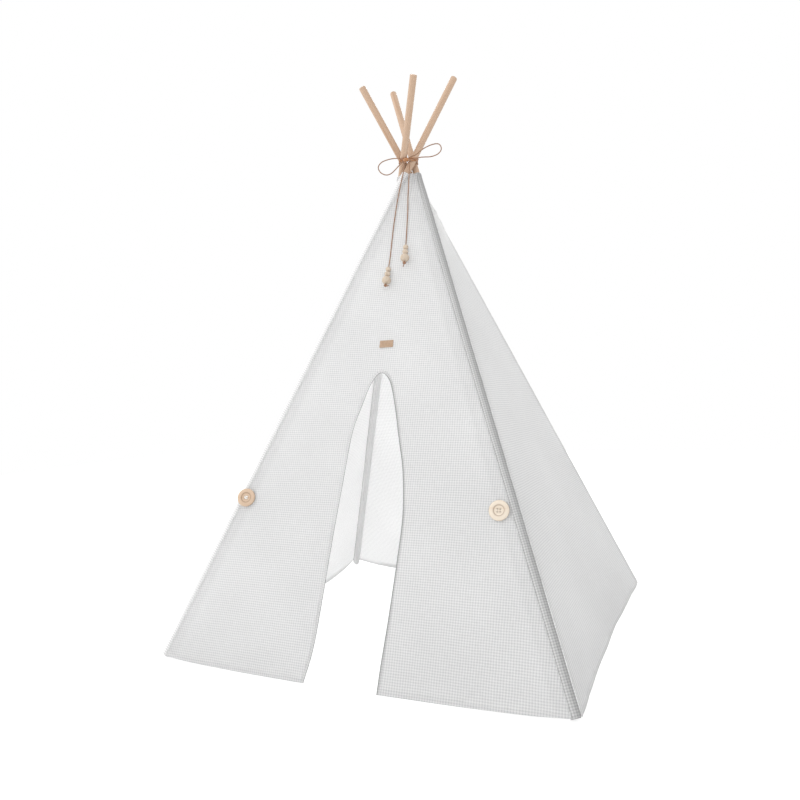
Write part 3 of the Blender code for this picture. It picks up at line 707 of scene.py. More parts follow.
# Materials
SUEDE = make_suede("suede", (0.37, 0.21, 0.13), (0.20, 0.105, 0.06))
TAN_SUEDE = make_suede("tan_suede", (0.50, 0.25, 0.12), (0.30, 0.13, 0.055))
POLE_WOOD = make_wood("pole_wood", (0.52, 0.37, 0.265), (0.42, 0.27, 0.175), (0.60, 0.46, 0.355))
BEAD_WOOD = make_wood("bead_wood", (0.56, 0.47, 0.375), (0.46, 0.36, 0.27), (0.62, 0.53, 0.44), rings=1.6)
PALE_WOOD = make_wood("pale_wood", (0.68, 0.60, 0.50), (0.60, 0.49, 0.38), (0.72, 0.64, 0.54))
WARM_WOOD = make_wood("warm_wood", (0.60, 0.45, 0.33), (0.50, 0.34, 0.22), (0.64, 0.50, 0.39))
LEATHER = make_leather("leather", (0.44, 0.31, 0.215), (0.34, 0.22, 0.14))
THREAD = make_cotton("thread", (0.80, 0.80, 0.79), (0.70, 0.70, 0.69))
WHITE_THREAD = make_cotton("white_thread", (0.95, 0.94, 0.92), (0.86, 0.85, 0.82))
TAN_THREAD = make_cotton("tan_thread", (0.72, 0.64, 0.54), (0.60, 0.51, 0.41))
GINGHAM = make_gingham("gingham", through=0.68)
# The sleeve cloth darkens to a painted crease shade at its seams
SLEEVE_CLOTH = make_gingham("sleeve_gingham", through=0.0, doubled_white=0.73, doubled_grey=0.58, painted_crease_shade=0.53)


# Cords, the tie and its beads
def lashing_point(height, angle):
    """The middle of the cord where, drawn tight round all four poles, it faces the given way."""
    facing = np.array((math.cos(angle), math.sin(angle), 0))
    clear = POLE_RADIUS + CORD_RADIUS + GAP
    furthest = None
    for corner in CORNERS:
        rise = direction_of(corner)
        along = unit(np.array((rise[0], rise[1], 0)))
        across = np.array((-along[1], along[0], 0))
        long_way = clear / rise[2]
        slant = np.array((long_way * facing.dot(along), clear * facing.dot(across)))
        slant /= np.linalg.norm(slant)
        touch = axis_at(corner, height) + along * long_way * slant[0] + across * clear * slant[1]
        if furthest is None or touch.dot(facing) > furthest.dot(facing):
            furthest = touch
    return furthest


low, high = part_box("bow_knot")
KNOT_CENTRE = (low + high) / 2


def knot_exit(facing):
    """Where a cord leaves the knot, facing away from its middle, and the next place on it."""
    way = Vector(facing).normalized()
    half = KNOT_SIZE / 2
    surface = Vector(way * half)
    face = Vector((way.x / half.x, way.y / half.y, way.z / half.z)).normalized()
    start = KNOT_CENTRE + surface + face * GAP * 2
    return start, start + face * CORD_DIAMETER


def make_bow():
    for hand, side, route in (("left", -1, LEFT_BOW_ROUTE), ("right", 1, RIGHT_BOW_ROUTE)):
        leave, leave_on = knot_exit((side, -0.2, 0.5))
        back, back_on = knot_exit((side, -0.2, -0.5))
        way = [KNOT_CENTRE + Vector(p) for p in route]
        route = smooth_route([leave, leave_on, *way, back_on, back], CORD_STEP / 2)
        loop = make_curve(f"bow_loop_{hand}_cord", route, CORD_RADIUS, SUEDE)
        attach(loop, "crown")
        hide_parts(f"bow_loop_{hand}")


def wound_ball(size, turns, lean, depth=0.16, rings=40, sides=48):
    """A knot as a ball with the ridges of its wound cord, round its own Z."""
    points = []
    for i in range(rings + 1):
        polar = math.pi * i / rings
        for j in range(sides):
            angle = 2 * math.pi * j / sides
            level = math.sin(polar)
            way = Vector((level * math.cos(angle), level * math.sin(angle), math.cos(polar)))
            tilted = way.dot(Vector((math.sin(lean), 0, math.cos(lean))).normalized())
            ridge = abs(math.sin(turns * math.acos(max(-1, min(1, tilted)))))
            swell = 1 - depth + depth * ridge**0.6
            points.append(Vector((way.x * size.x, way.y * size.y, way.z * size.z)) / 2 * swell)
    return points, tube_faces(rings + 1, sides)


def make_knot():
    """The bow's knot: two wraps over a core that lies across."""
    points, faces = wound_ball(KNOT_SIZE * 1.04, 2.5, math.radians(78))
    knot = new_piece("bow_knot_wraps", [KNOT_CENTRE + p for p in points], faces, TAN_SUEDE)
    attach(knot, "crown")
    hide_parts("bow_knot")


def make_lashing():
    path = []
    for i in range(LASH_TURNS * LASH_STEPS + 1):
        turns = i / LASH_STEPS
        height = CROWN[2] + LASH_RISE + (turns - LASH_TURNS / 2) * LASH_PITCH
        path.append(lashing_point(height, math.radians(LASH_START_DEGREES) + 2 * math.pi * turns))
    lashing = make_tubes("lashing_turns", [path], CORD_RADIUS, LASH_SIDES, TAN_SUEDE, tips=0.8)
    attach(lashing, "crown")
    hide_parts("lashing")


BEAD_STEPS = 36
BEAD_FLAT = 0.0004
BEAD_CHAMFER = 0.0005


def make_bead(name, node, centre, turn, radius, body, seed):
    """A turned wooden bead, drilled through, with a small flat at each end."""
    bore = CORD_RADIUS + GAP
    start = math.acos((bore + BEAD_FLAT) / radius)
    profile = [(bore, radius * math.sin(start) - BEAD_CHAMFER)]
    for i in range(BEAD_STEPS + 1):
        angle = start - 2 * start * i / BEAD_STEPS
        swell = 1 + 0.006 * math.cos(4 * angle)
        profile.append((radius * math.cos(angle) * swell, radius * math.sin(angle) * 0.985))
    profile.append((bore, -profile[0][1]))
    points = turned_points(profile, BEAD_SIDES)
    faces = grid_faces(len(profile), BEAD_SIDES, wrap=True)
    faces += ring_faces(len(points) - BEAD_SIDES, 0, BEAD_SIDES)
    bead = new_piece(name, [centre + turn @ p for p in points], faces, BEAD_WOOD)
    grain = [p + Vector((seed * 0.37, seed * 0.11, seed * 0.23)) for p in points]
    set_vectors(bead, "grain", grain)
    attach(bead, body)
    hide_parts(node)
    return bead


def make_hanging_end(hand, facing, drop, lying, chain_end, tail):
    """A hanging end: its cord, three beads, and the end knot with its short tail."""
    body = f"{hand}_end"
    radii = list(BEAD_RADII.values())
    side, slope = chain_end
    length = sum(radii) * 2 - radii[0] - radii[-1] + GAP * (len(radii) - 1)
    lead = Vector((lying[-1][0] - side, lying[-1][1] - slope, 0)).normalized()
    low = Vector(front_point(side, slope, radii[-1] + GAP))
    high = Vector(front_point(side + lead.x * length, slope + lead.y * length, radii[0] + GAP))
    up = (high - low).normalized()
    turn = up.to_track_quat("Z", "Y").to_matrix()
    place, below = low, None
    for seed, (name, radius) in enumerate(reversed(list(BEAD_RADII.items()))):
        if below is not None:
            place = place + up * (below + radius + GAP)
        below = radius
        node = f"{hand}_{name}"
        make_bead(f"{node}_turned", node, place, turn, radius, body, seed + len(hand))
    top = place + up * radii[0]
    foot = low - up * (radii[-1] + GAP)
    centre = foot - up * (END_KNOT_SIZE.z / 2)
    points, faces = wound_ball(END_KNOT_SIZE, 1.5, math.radians(62), depth=0.2, rings=28, sides=36)
    points = [centre + turn @ p for p in points]
    tail = smooth_route([centre + turn @ Vector(p) for p in tail], CORD_DIAMETER / 2)
    radii_along = np.full(len(tail), CORD_RADIUS * 0.85)
    radii_along[-1] = CORD_RADIUS * 0.5
    rings = tube_grid(tail, radii_along, TAIL_SIDES)
    faces += tube_faces(len(tail), TAIL_SIDES, len(points))
    points += [Vector(p) for p in rings.reshape(-1, 3)]
    knot = new_piece(f"{hand}_end_knot_wraps", points, faces, SUEDE)
    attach(knot, body)
    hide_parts(f"{hand}_end_knot")
    leave, leave_on = knot_exit(facing)
    route = [leave, leave_on, *(KNOT_CENTRE + Vector(p) for p in drop)]
    route += [Vector(front_point(*p)) for p in lying]
    route = smooth_route([*route, top + up * CORD_DIAMETER, top, foot + up * GAP], CORD_STEP / 2)
    cord = make_curve(f"{hand}_hanging_cord", route, CORD_RADIUS, SUEDE)
    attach(cord, body)
    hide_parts(f"{hand}_cord")


make_camera()
make_bow()
make_hanging_end(
    "left", (-0.6, -0.1, -0.8), LEFT_DROP_ROUTE, LEFT_LYING_ROUTE, LEFT_CHAIN_END,
    ((0, 0, -0.002), (-0.004, 0.002, -0.004), (-0.008, 0.003, -0.004), (-0.0115, 0.003, -0.003)),
)
make_hanging_end(
    "right", (0.6, -0.1, -0.8), RIGHT_DROP_ROUTE, RIGHT_LYING_ROUTE, RIGHT_CHAIN_END,
    ((0, 0, -0.002), (0.001, 0, -0.006), (0.002, 0.001, -0.010), (0.0025, 0.001, -0.014)),
)
make_knot()
make_lashing()


# Poles
POLE_BOW = 0.00025


def pole_axes(corner):
    """Two directions square to a pole, and the pole's own."""
    rise = direction_of(corner)
    x_axis = unit(np.cross((0.0, 0.0, 1.0), rise))
    return x_axis, np.cross(rise, x_axis), rise


def make_pole(corner):
    """A turned pole with eased ends, not quite straight above the crossing."""
    x_axis, y_axis, rise = pole_axes(corner)
    seed, reach = list(CORNERS).index(corner), reach_of(corner)
    start = sleeve_start(corner) + POCKET_FLOOR + GAP
    eased = [(0, POLE_RADIUS - POLE_END_ROUND)]
    for degrees in (30, 60, 90):
        angle = math.radians(degrees)
        drop = 1 - math.sin(angle)
        eased.append((POLE_END_ROUND * (1 - math.cos(angle)), POLE_RADIUS - POLE_END_ROUND * drop))
    body = [(x, POLE_RADIUS) for x in np.linspace(0.02, POLE_LENGTH - 0.02, 120)]
    marks = eased + body + [(POLE_LENGTH - x, r) for x, r in reversed(eased)]
    points, grain = [], []
    for along, radius in marks:
        middle = foot_of(corner) + rise * (start + along)
        bow = POLE_BOW * math.sin(along * 9 + seed) * min(1, 8 * max(0, along - reach) ** 0.5)
        for j in range(POLE_SIDES):
            angle = 2 * math.pi * j / POLE_SIDES
            x, y = radius * math.cos(angle), radius * math.sin(angle)
            points.append(middle + x_axis * (x + bow) + y_axis * y)
            grain.append((x + seed * 0.31, y + seed * 0.17, along + seed * 3.1))
    pole = new_piece(f"pole_{corner}_turned", points, tube_faces(len(marks), POLE_SIDES), POLE_WOOD, sharp=50)
    set_vectors(pole, "grain", grain)
    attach(pole, f"{corner}_pole")
    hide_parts(f"pole_{corner}")


# Sleeves. A seam's painted shade: where it starts round the tube, and how much it adds there and at the seam
SLEEVE_SHADES = {("front_right", "right_wall"): (-0.95, 0.34, 1.0)}
PLAIN_SLEEVE_SHADE = (0.55, 0.0, 0.2)
# How strongly each corner's sleeve gets painted shade, and how much painted light its inner side gets
SLEEVE_PAINTED_SHADE_SCALES = {"front_left": 0.6, "front_right": 1.0, "back_right": 0.7, "back_left": 0.7}
SLEEVE_INSIDE_PAINTED_LIGHT = 0.4
SLEEVE_EASE = 0.0004
SLEEVE_FOOT_MARKS = (0.0, 0.0006, 0.0016, 0.003, 0.0055)
SLEEVE_FOOT_SWELL = (-0.0034, -0.0019, -0.0008, -0.0003, 0)
SLEEVE_HEM_MARKS = np.array((0.0095, 0.009, 0.0004, 0.0))
SLEEVE_HEM_SWELL = (0, 0.0003, 0.0003, 0)
POCKET_RADIUS = 0.0108
POCKET_EASE = 0.0006


def sleeve_doubling_and_painted_shade(corner, radial):
    """How doubled a sleeve's cloth is round it, with painted shade at its seams and painted light inside."""
    under = radial @ unit(np.array((0.0, 0.0, CROWN[2] / 2)) - foot_of(corner) * 0.8)
    # the outward side is doubled with wood behind; the inward side is painted lighter
    doubling_and_painted_shade = np.clip((0.45 - under) / 0.5, 0, 1)
    for wall, (left, right, *_) in WALLS.items():
        if corner in (left, right):
            _, side, _, out = wall_axes(wall)
            seam = unit((side if corner == left else -side) * 0.62 + out * 0.80)
            start, least, most = SLEEVE_SHADES.get((corner, wall), PLAIN_SLEEVE_SHADE)
            share = np.clip((radial @ seam - start) / (1 - start), 0, 1)
            doubling_and_painted_shade = np.maximum(doubling_and_painted_shade, (doubling_and_painted_shade > 0.9) * (1 + least + (most - least) * share))
    # painted light on the side facing into the tent
    pale = SLEEVE_INSIDE_PAINTED_LIGHT * np.clip((radial @ unit(-foot_of(corner)) - 0.2) / 0.3, 0, 1)
    return doubling_and_painted_shade * SLEEVE_PAINTED_SHADE_SCALES[corner] * (1 - pale) - pale


def make_sleeve(corner):
    """A cloth tube round its pole, with loose puckers, a sewn pocket at the foot and a hem at the top."""
    x_axis, y_axis, rise = pole_axes(corner)
    foot, start = foot_of(corner), sleeve_start(corner)
    length = reach_of(corner) - CANOPY_DROP / rise[2] - start
    sides, seed = SLEEVE_SIDES, list(CORNERS).index(corner) + 1
    angles = np.linspace(0, 2 * np.pi, sides, endpoint=False)
    cos, sin = np.cos(angles), np.sin(angles)
    hem_marks = length - SLEEVE_HEM_MARKS
    marks = np.concatenate((SLEEVE_FOOT_MARKS, [0.009], np.linspace(0.016, length - 0.012, 190), hem_marks))
    pocket = len(SLEEVE_FOOT_MARKS)
    swell = np.interp(marks, SLEEVE_FOOT_MARKS, SLEEVE_FOOT_SWELL)
    swell = swell + np.interp(marks, hem_marks, SLEEVE_HEM_SWELL)
    flat = np.stack(np.broadcast_arrays(cos[None], sin[None], marks[:, None] * 12), axis=-1)
    pucker = rough(flat, 0.55, seed) * 0.00035
    pucker += rough(flat * (2.2, 2.2, 0.5), 0.8, seed + 9) * 0.00025
    pucker *= np.interp(marks, (0, 0.01), (0.2, 1))[:, None]
    radius = SLEEVE_RADIUS - SLEEVE_EASE + swell[:, None] + pucker
    radial = cos[:, None] * x_axis + sin[:, None] * y_axis
    middles = (foot + rise * (start + marks)[:, None])[:, None]
    outer = middles + radial * radius[..., None]
    outer[..., 2] = np.maximum(outer[..., 2], 0.0)
    inner = (middles + radial * (radius - CLOTH)[..., None])[pocket:]
    inner[0] = foot + rise * (start + POCKET_FLOOR - POCKET_EASE) + radial * POCKET_RADIUS
    points = np.concatenate((outer.reshape(-1, 3), inner.reshape(-1, 3)))
    far = len(marks) * sides
    faces = grid_faces(len(marks), sides, wrap=True)
    faces += [f[::-1] for f in grid_faces(len(inner), sides, far, wrap=True)]
    faces += ring_faces(far - sides, len(points) - sides, sides)
    faces += [tuple(range(sides))[::-1], tuple(range(far, far + sides))]
    sleeve = new_piece(f"sleeve_{corner}_cloth", points, faces, SLEEVE_CLOTH)
    doubling_and_painted_shade = sleeve_doubling_and_painted_shade(corner, radial)
    cloth = np.stack(np.broadcast_arrays(angles * SLEEVE_RADIUS, marks[:, None], doubling_and_painted_shade), axis=-1)
    set_vectors(sleeve, "cloth", np.concatenate((cloth.reshape(-1, 3), cloth[pocket:].reshape(-1, 3))))
    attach(sleeve, f"{corner}_pole")
    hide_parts(f"sleeve_{corner}")


# Walls
SEAM_LAP = 0.0058
SEAM_MARKS = np.array((0, 1.5, 3.5, 6, 9, 13, 18, 25, 34, 46)) / 1000
SEAM_DIP = np.array((0.3, -0.1, -0.5, -0.6, -0.6, -0.5, -0.3, -0.2, -0.1, 0)) / 1000
WALL_COLUMNS = 90
WALL_ROWS = 109
TOP_FOLDS = ((0.10, 0.020, 1.0), (0.20, 0.030, 0.9), (0.29, 0.045, -0.7))
TOP_FOLD_DEPTH = 0.0045
TOP_FOLD_REACH = 0.22
TOP_FOLD_WIDTH = 0.006
STREAK_WIDTH = 0.010
# Painted light: paler cloth in streaks along the folds, by how far below the top of the right wall
STREAK_PAINTED_LIGHT = ((0, 0.16, 0.34), (1, 0.9, 0))
TUCK_PLACE = 0.055
TUCK_SLOPE = 0.5
TUCK_WIDTH = 0.005
TUCK_REACH = 0.03
TUCK_DEPTH = 0.0022
GATHER_PITCH = 0.011
GATHER_DEPTH = 0.0006
CUTTER_DROP = 0.03
CUTTER_REACH = 0.05

# The rows at the hems, as distance from the foot or the top, and how far the doubled hem swells there
HEM_ROWS = (0, 0.0005, 0.0030, 0.0070, HEM_BAND - 0.0006, HEM_BAND)
HEM_SWELLS = (0.2, 1, 1, 1, 1, 0)
TOP_ROWS = (0.0086, 0.0080, 0.0005, 0)
TOP_SWELLS = (0, 1, 1, 0.2)

# Wrinkles as stretch, size and depth: broad and middling slack, fine creases, seam puckers, a wavy hem
WRINKLES = (
    ((1, 0.6, 1), 0.30, 0.0024), ((1, 0.7, 1), 0.11, 0.0007), ((1, 1, 1), 0.035, 0.00016),
    ((0.4, 1, 1), 0.024, 0.00055), ((1, 0.25, 1), 0.075, 0.0013),
)


def fold_lines(across, below, width):
    """Narrow folds that run down from the top of the right wall, as shares of their depth."""
    half = (FOOT_SPACING / 2) * below / front_slope()
    fade = np.exp(-((below / TOP_FOLD_REACH) ** 2))
    rise = np.zeros_like(across)
    for lean, start, share in TOP_FOLDS:
        off = (across + half - below * lean - start) / width
        rise += share * np.exp(-(off**2)) * fade
    return rise


def wrinkles(points, from_seam, wall):
    """How far the cloth stands off its smooth form: slack, puckers along the seams and a wavy hem."""
    foot, side, up, _ = wall_axes(wall)
    across, height = (points - foot) @ side, (points - foot) @ up
    seed = list(WALLS).index(wall) * len(WRINKLES) + 1
    flat = np.stack((across, height, np.zeros_like(across)), axis=-1)
    top = np.max(height)
    half = (FOOT_SPACING / 2) * (1 - height / top)
    waves = (rough(flat * way, size, seed + k) * depth for k, (way, size, depth) in enumerate(WRINKLES))
    broad, middle, fine, pucker, hem = waves
    broad *= np.clip(from_seam / 0.12, 0, 1)
    middle *= np.clip(from_seam / 0.05, 0, 1)
    pucker *= np.exp(-from_seam / 0.018)
    hem *= np.exp(-height / 0.05)
    gather = np.sin(across * 2 * np.pi / GATHER_PITCH + seed) * GATHER_DEPTH * np.exp(-(top - height) / 0.05)
    reach = np.clip(half / 0.05, 0.15, 1)
    folds = 0
    if wall == "right_wall":
        folds = fold_lines(across, top - height, TOP_FOLD_WIDTH) * TOP_FOLD_DEPTH
    if wall == "front_wall":
        along, aside = across + half - TUCK_PLACE, height - TUCK_PLACE
        off = (aside - along * TUCK_SLOPE) / TUCK_WIDTH
        folds = TUCK_DEPTH * np.exp(-(off**2) - (along / TUCK_REACH) ** 2)
    return (broad + middle) * reach + fine + pucker + hem + gather + folds


def wall_grids(wall):
    """The outer and inner grids of a wall, and the directions out of it."""
    hem_rise = WALLS[wall][4]
    foot_rises, top_rises = np.array(HEM_ROWS) / CANOPY_TOP, 1 - np.array(TOP_ROWS) / CANOPY_TOP
    rises = np.concatenate((foot_rises, np.linspace(0.014, 1 - 0.011, WALL_ROWS), top_rises))
    swells = np.concatenate((HEM_SWELLS, np.zeros(WALL_ROWS), TOP_SWELLS)) * HEM_SWELL
    middle = np.linspace(0, 1, WALL_COLUMNS + 1)[1:-1]
    height = rises[:, None] * CANOPY_TOP
    for _ in range(5):
        slant = slant_of(wall, height[:, :1])
        scale = np.minimum(1, (slant / 2 - SEAM_LAP) * 0.6 / SEAM_MARKS[-1])
        left = (SEAM_LAP + SEAM_MARKS * scale) / slant
        span = left[:, -1:] + (1 - 2 * left[:, -1:]) * middle
        across = np.concatenate((left, span, 1 - left[:, ::-1]), axis=1)
        from_seam = np.minimum(across, 1 - across) * slant - SEAM_LAP
        edge = SEAM_LAP / slant
        inner_share = (across - edge) / (1 - 2 * edge)
        lift = np.interp(from_seam, SEAM_MARKS, SEAM_DIP)
        place = canopy_point(wall, across, height, lift)
        hem = HEM_CLEARANCE + hem_rise * (2 * inner_share - 1) ** 6
        height = height + (hem + (CANOPY_TOP - hem) * rises[:, None]) - place[..., 2]
    lift = lift + wrinkles(place, from_seam, wall) + swells[:, None]
    outer = canopy_point(wall, across, height, lift)
    outward = grid_normals(canopy_point(wall, across, height, lift - swells[:, None]))
    inner = outer - outward * (CLOTH + 2 * swells[:, None])[..., None]
    return outer, inner, outward


# How doubled the cloth is by its distance from the pole and at the very top: partly real doubling, partly
# painted shade
NARROW_EDGE = ((0.012, 0.018), (0.4, 0))
EDGE_SHADES = {
    "front_wall": ((0.012, 0.020, 0.034, 0.050), (0.35, 0.55, 0.65, 0)),
    "right_wall": ((0.012, 0.020, 0.032), (0.6, 0.6, 0)),
    "back_wall": NARROW_EDGE,
    "left_wall": NARROW_EDGE,
}
# Past 1 the front wall's top also gets painted crease shade
TOP_SHADES = {"front_wall": 1.25, "right_wall": 0.0, "back_wall": 0.0, "left_wall": 0.0}


def mark_cloth(piece, wall):
    """Stores the flat pattern's coordinates, and how doubled the cloth is there, with painted shade and
    light.
    """
    foot, side, up, _ = wall_axes(wall)
    left, right, _, _, hem_rise = WALLS[wall]
    points = points_of(piece)
    flat = points - foot
    from_pole = np.minimum(
        *(np.linalg.norm(np.cross(points - foot_of(c), direction_of(c)), axis=1) for c in (left, right))
    )
    share = np.abs(flat @ side) / (FOOT_SPACING / 2)
    hem = points[:, 2] - HEM_CLEARANCE - hem_rise * np.clip(share, 0, 1) ** 6
    doubling_and_painted_light = np.maximum(hem < HEM_BAND, points[:, 2] > CANOPY_TOP - HEM_BAND).astype(float)
    # painted shade: a darker band beside the poles and a darker top of the wall
    doubling_and_painted_light = np.maximum(doubling_and_painted_light, np.interp(from_pole, *EDGE_SHADES[wall]))
    doubling_and_painted_light = np.maximum(doubling_and_painted_light, np.interp(CANOPY_TOP - points[:, 2], (0.02, 0.25), (TOP_SHADES[wall], 0)))
    # painted light: paler streaks along the folds near the top of the right wall
    if wall == "right_wall":
        below = np.max(flat @ up) - flat @ up
        streaks = np.clip(0.6 + fold_lines(flat @ side, below, STREAK_WIDTH), 0, 1)
        doubling_and_painted_light -= np.interp(below, *STREAK_PAINTED_LIGHT) * streaks
    set_vectors(piece, "cloth", np.stack((flat @ side, flat @ up, doubling_and_painted_light), axis=-1))


def door_edge():
    """Places round the door's edge, as side and height up the front, and the directions out of the door."""
    low = hem_slope()
    corners = [(side * DOOR_HALF_WIDTH, low + (DOOR_HEIGHT - low) * up, 0) for side, up in DOOR_EDGE_SHARES]
    edge = np.array([tuple(p) for p in smooth_route(corners, DOOR_STEP)])
    run = np.gradient(edge, axis=0)
    out = unit(np.stack((-run[:, 1], run[:, 0], np.zeros(len(run))), axis=-1))
    out[0], out[-1] = (-1, 0, 0), (1, 0, 0)
    return edge, out


def cut_door(piece):
    edge, out = door_edge()
    clear = edge + out * (BINDING_WIDTH - BINDING_LAP)
    frame_in = front_frame(0.0, 0.0)
    flat = [frame_in.inverted() @ Vector(p) for p in front_point(clear[:, 0], clear[:, 1])]
    below_hem = Vector((0, CUTTER_DROP, 0))
    outline = [flat[0] - below_hem, *flat, flat[-1] - below_hem]
    count = len(outline)
    points = [frame_in @ Vector((p.x, p.y, z)) for z in (-CUTTER_REACH, CUTTER_REACH) for p in outline]
    faces = [tuple(range(count))[::-1], tuple(range(count, 2 * count)), *ring_faces(0, count, count)]
    cut_away(piece, new_piece("door_cutter", points, faces, GINGHAM, smooth=False))


def make_wall(wall):
    outer, inner, outward = wall_grids(wall)
    points, faces = sheet_shell(outer, inner)
    piece = new_piece(f"{wall}_cloth", points, faces, GINGHAM, sharp=55)
    rows = [(outer[3], outward[3]), (outer[:, 2], outward[:, 2]), (outer[:, -3], outward[:, -3])]
    if wall == "front_wall":
        cut_door(piece)
        edge, x = door_edge()[0], outer[3][:, 0]
        left, right = (front_point(*end[:2])[0] for end in (edge[0], edge[-1]))
        beside = (x < left - 0.01, x > right + 0.01)
        rows = [(outer[3][part], outward[3][part]) for part in beside] + rows[1:]
    mark_cloth(piece, wall)
    stitches = make_stitches(f"{wall}_stitches", rows, THREAD)
    for part in (piece, stitches):
        fold_with(part, wall)
    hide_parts(wall)
    return piece, stitches


# The hem's section, in millimetres from the door and off the cloth, and how doubled it is, left and right,
# with painted shade on its rolled edge, heavier on the door's right side
BINDING_PROFILE = (
    (8.0, 0.0), (7.8, 0.7), (6.0, 1.0), (3.6, 0.95), (2.4, 1.15), (1.2, 1.45), (0.3, 1.15), (-0.1, 0.0),
    (0.3, -1.15), (1.2, -1.45), (2.4, -1.15), (3.6, -0.95), (6.0, -1.0), (7.8, -0.7),
)
BINDING_SHADES = (0, 0, 0, 0.1, 0.3, 0.8, 1.5, 1.8, 1.5, 0.8, 0.4, 0.3, 0.3, 0.3)
RIGHT_EDGE_SHADES = (0.5, 0.5, 0.8, 1.3, 1.7, 1.9, 2, 2, 2, 1.9, 1.7, 1.3, 0.8, 0.5)


def make_binding():
    """The door's turned hem: a flat band with a rolled edge, and a row of stitches along it."""
    edge, out = door_edge()
    rings, cloth = [], []
    along = distance_along(edge)
    sway = 0.00012 * np.sin(along * 2 * np.pi / 0.021)
    rightness = np.clip(edge[:, 0] / 0.05 + 0.5, 0, 1)
    for (across, lift), left_shade, right_shade in zip(BINDING_PROFILE, BINDING_SHADES, RIGHT_EDGE_SHADES):
        # painted shade on the rolled edge, heavier towards the right of the door
        shade = left_shade + (right_shade - left_shade) * rightness
        spot = edge + out * (across / 1000 + sway[:, None])
        rings.append(front_point(spot[:, 0], spot[:, 1], BINDING_MIDDLE + lift / 1000 + sway))
        cloth.append(np.stack((np.full(len(edge), across / 1000), along, shade), axis=-1))
    rings, cloth = np.stack(rings, axis=1), np.stack(cloth, axis=1)
    faces = tube_faces(len(edge), len(BINDING_PROFILE))
    binding = new_piece("door_binding_hem", rings.reshape(-1, 3), faces, GINGHAM, sharp=60)
    set_vectors(binding, "cloth", cloth.reshape(-1, 3))
    spot = edge + out * BINDING_SEAM
    line = front_point(spot[:, 0], spot[:, 1], BINDING_MIDDLE + BINDING_FACE)
    outward = np.broadcast_to(wall_axes("front_wall")[3], line.shape)
    stitches = make_stitches("door_binding_stitches", [(line, outward)], THREAD)
    for piece in (binding, stitches):
        fold_with(piece, "front_wall")
    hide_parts("door_binding")
    return [binding, stitches]


# Label: its levels from back to front, as way in from the edge and height
LABEL_CORNER = 0.0022
LABEL_SEAM = 0.0019
LABEL_HALF = LABEL_THICKNESS / 2
LABEL_LEVELS = (
    (0.0004, -LABEL_HALF), (0.0001, -LABEL_HALF + 0.0002), (0, 0), (0.0001, LABEL_HALF - 0.0002),
    (0.0005, LABEL_HALF), (0.0014, LABEL_HALF - 0.00012), (0.0024, LABEL_HALF - 0.00012),
    (0.0032, LABEL_HALF), (0.0070, LABEL_HALF + 0.00008),
)


def label_outline(inset):
    """The label's outline, drawn in by an inset: four rounded corners of seven points."""
    loop = []
    bend = max(LABEL_CORNER - inset, 0.0004)
    straight_x, straight_y = LABEL_WIDTH / 2 - inset - bend, LABEL_DEPTH / 2 - inset - bend
    for k, (right, up) in enumerate(((1, 1), (-1, 1), (-1, -1), (1, -1))):
        for i in range(7):
            angle = math.radians(90 * k + 15 * i)
            x = right * straight_x + bend * math.cos(angle)
            loop.append((x, up * straight_y + bend * math.sin(angle)))
    return loop


def make_label():
    """A bare leather tag with rounded corners, eased edges and a sewn border."""
    place = front_frame(0.0, LABEL_HEIGHT, GAP + LABEL_HALF)
    points = [place @ Vector((x, y, z)) for inset, z in LABEL_LEVELS for x, y in label_outline(inset)]
    faces = tube_faces(len(LABEL_LEVELS), len(label_outline(0)))
    label = new_piece("label_leather", points, faces, LEATHER, sharp=50)
    loop = label_outline(LABEL_SEAM)
    path = [tuple(place @ Vector((x, y, LABEL_HALF - 0.0001))) for x, y in loop + loop[:1]]
    outward = [tuple(place.to_3x3() @ Vector((0, 0, 1)))] * len(path)
    stitches = make_stitches("label_stitches", [(path, outward)], TAN_THREAD)
    for piece in (label, stitches):
        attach(piece, "front_panel")
    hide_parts("label")


# Buttons
HOLE_RADIUS = 0.00175
# Width of the painted shade ring at the dish's groove
PAINTED_RING_WIDTH = 0.0011


def button_profile():
    """From the middle of the face, over the dish, the rim and its worn edge, to the middle of the back."""
    r, d = BUTTON_RADIUS, DISH_RADIUS
    top, floor = BUTTON_THICKNESS, BUTTON_THICKNESS - DISH_DEPTH
    return [
        (0.0001, floor), (d - 0.0042, floor), (d - 0.0022, floor + 0.0001), (d - 0.0010, floor + 0.0006),
        (d - 0.0003, top - 0.0003), (d + 0.0004, top + 0.0001), (d + 0.0014, top + 0.0002),
        (r - 0.0075, top + 0.0001), (r - 0.0045, top - 0.0002), (r - 0.0022, top - 0.0008),
        (r - 0.0008, top - 0.0018), (r - 0.0001, top - 0.0030), (r - 0.0003, 0.0012),
        (r - 0.0012, 0.0003), (r - 0.0024, 0), (0.0001, 0),
    ]


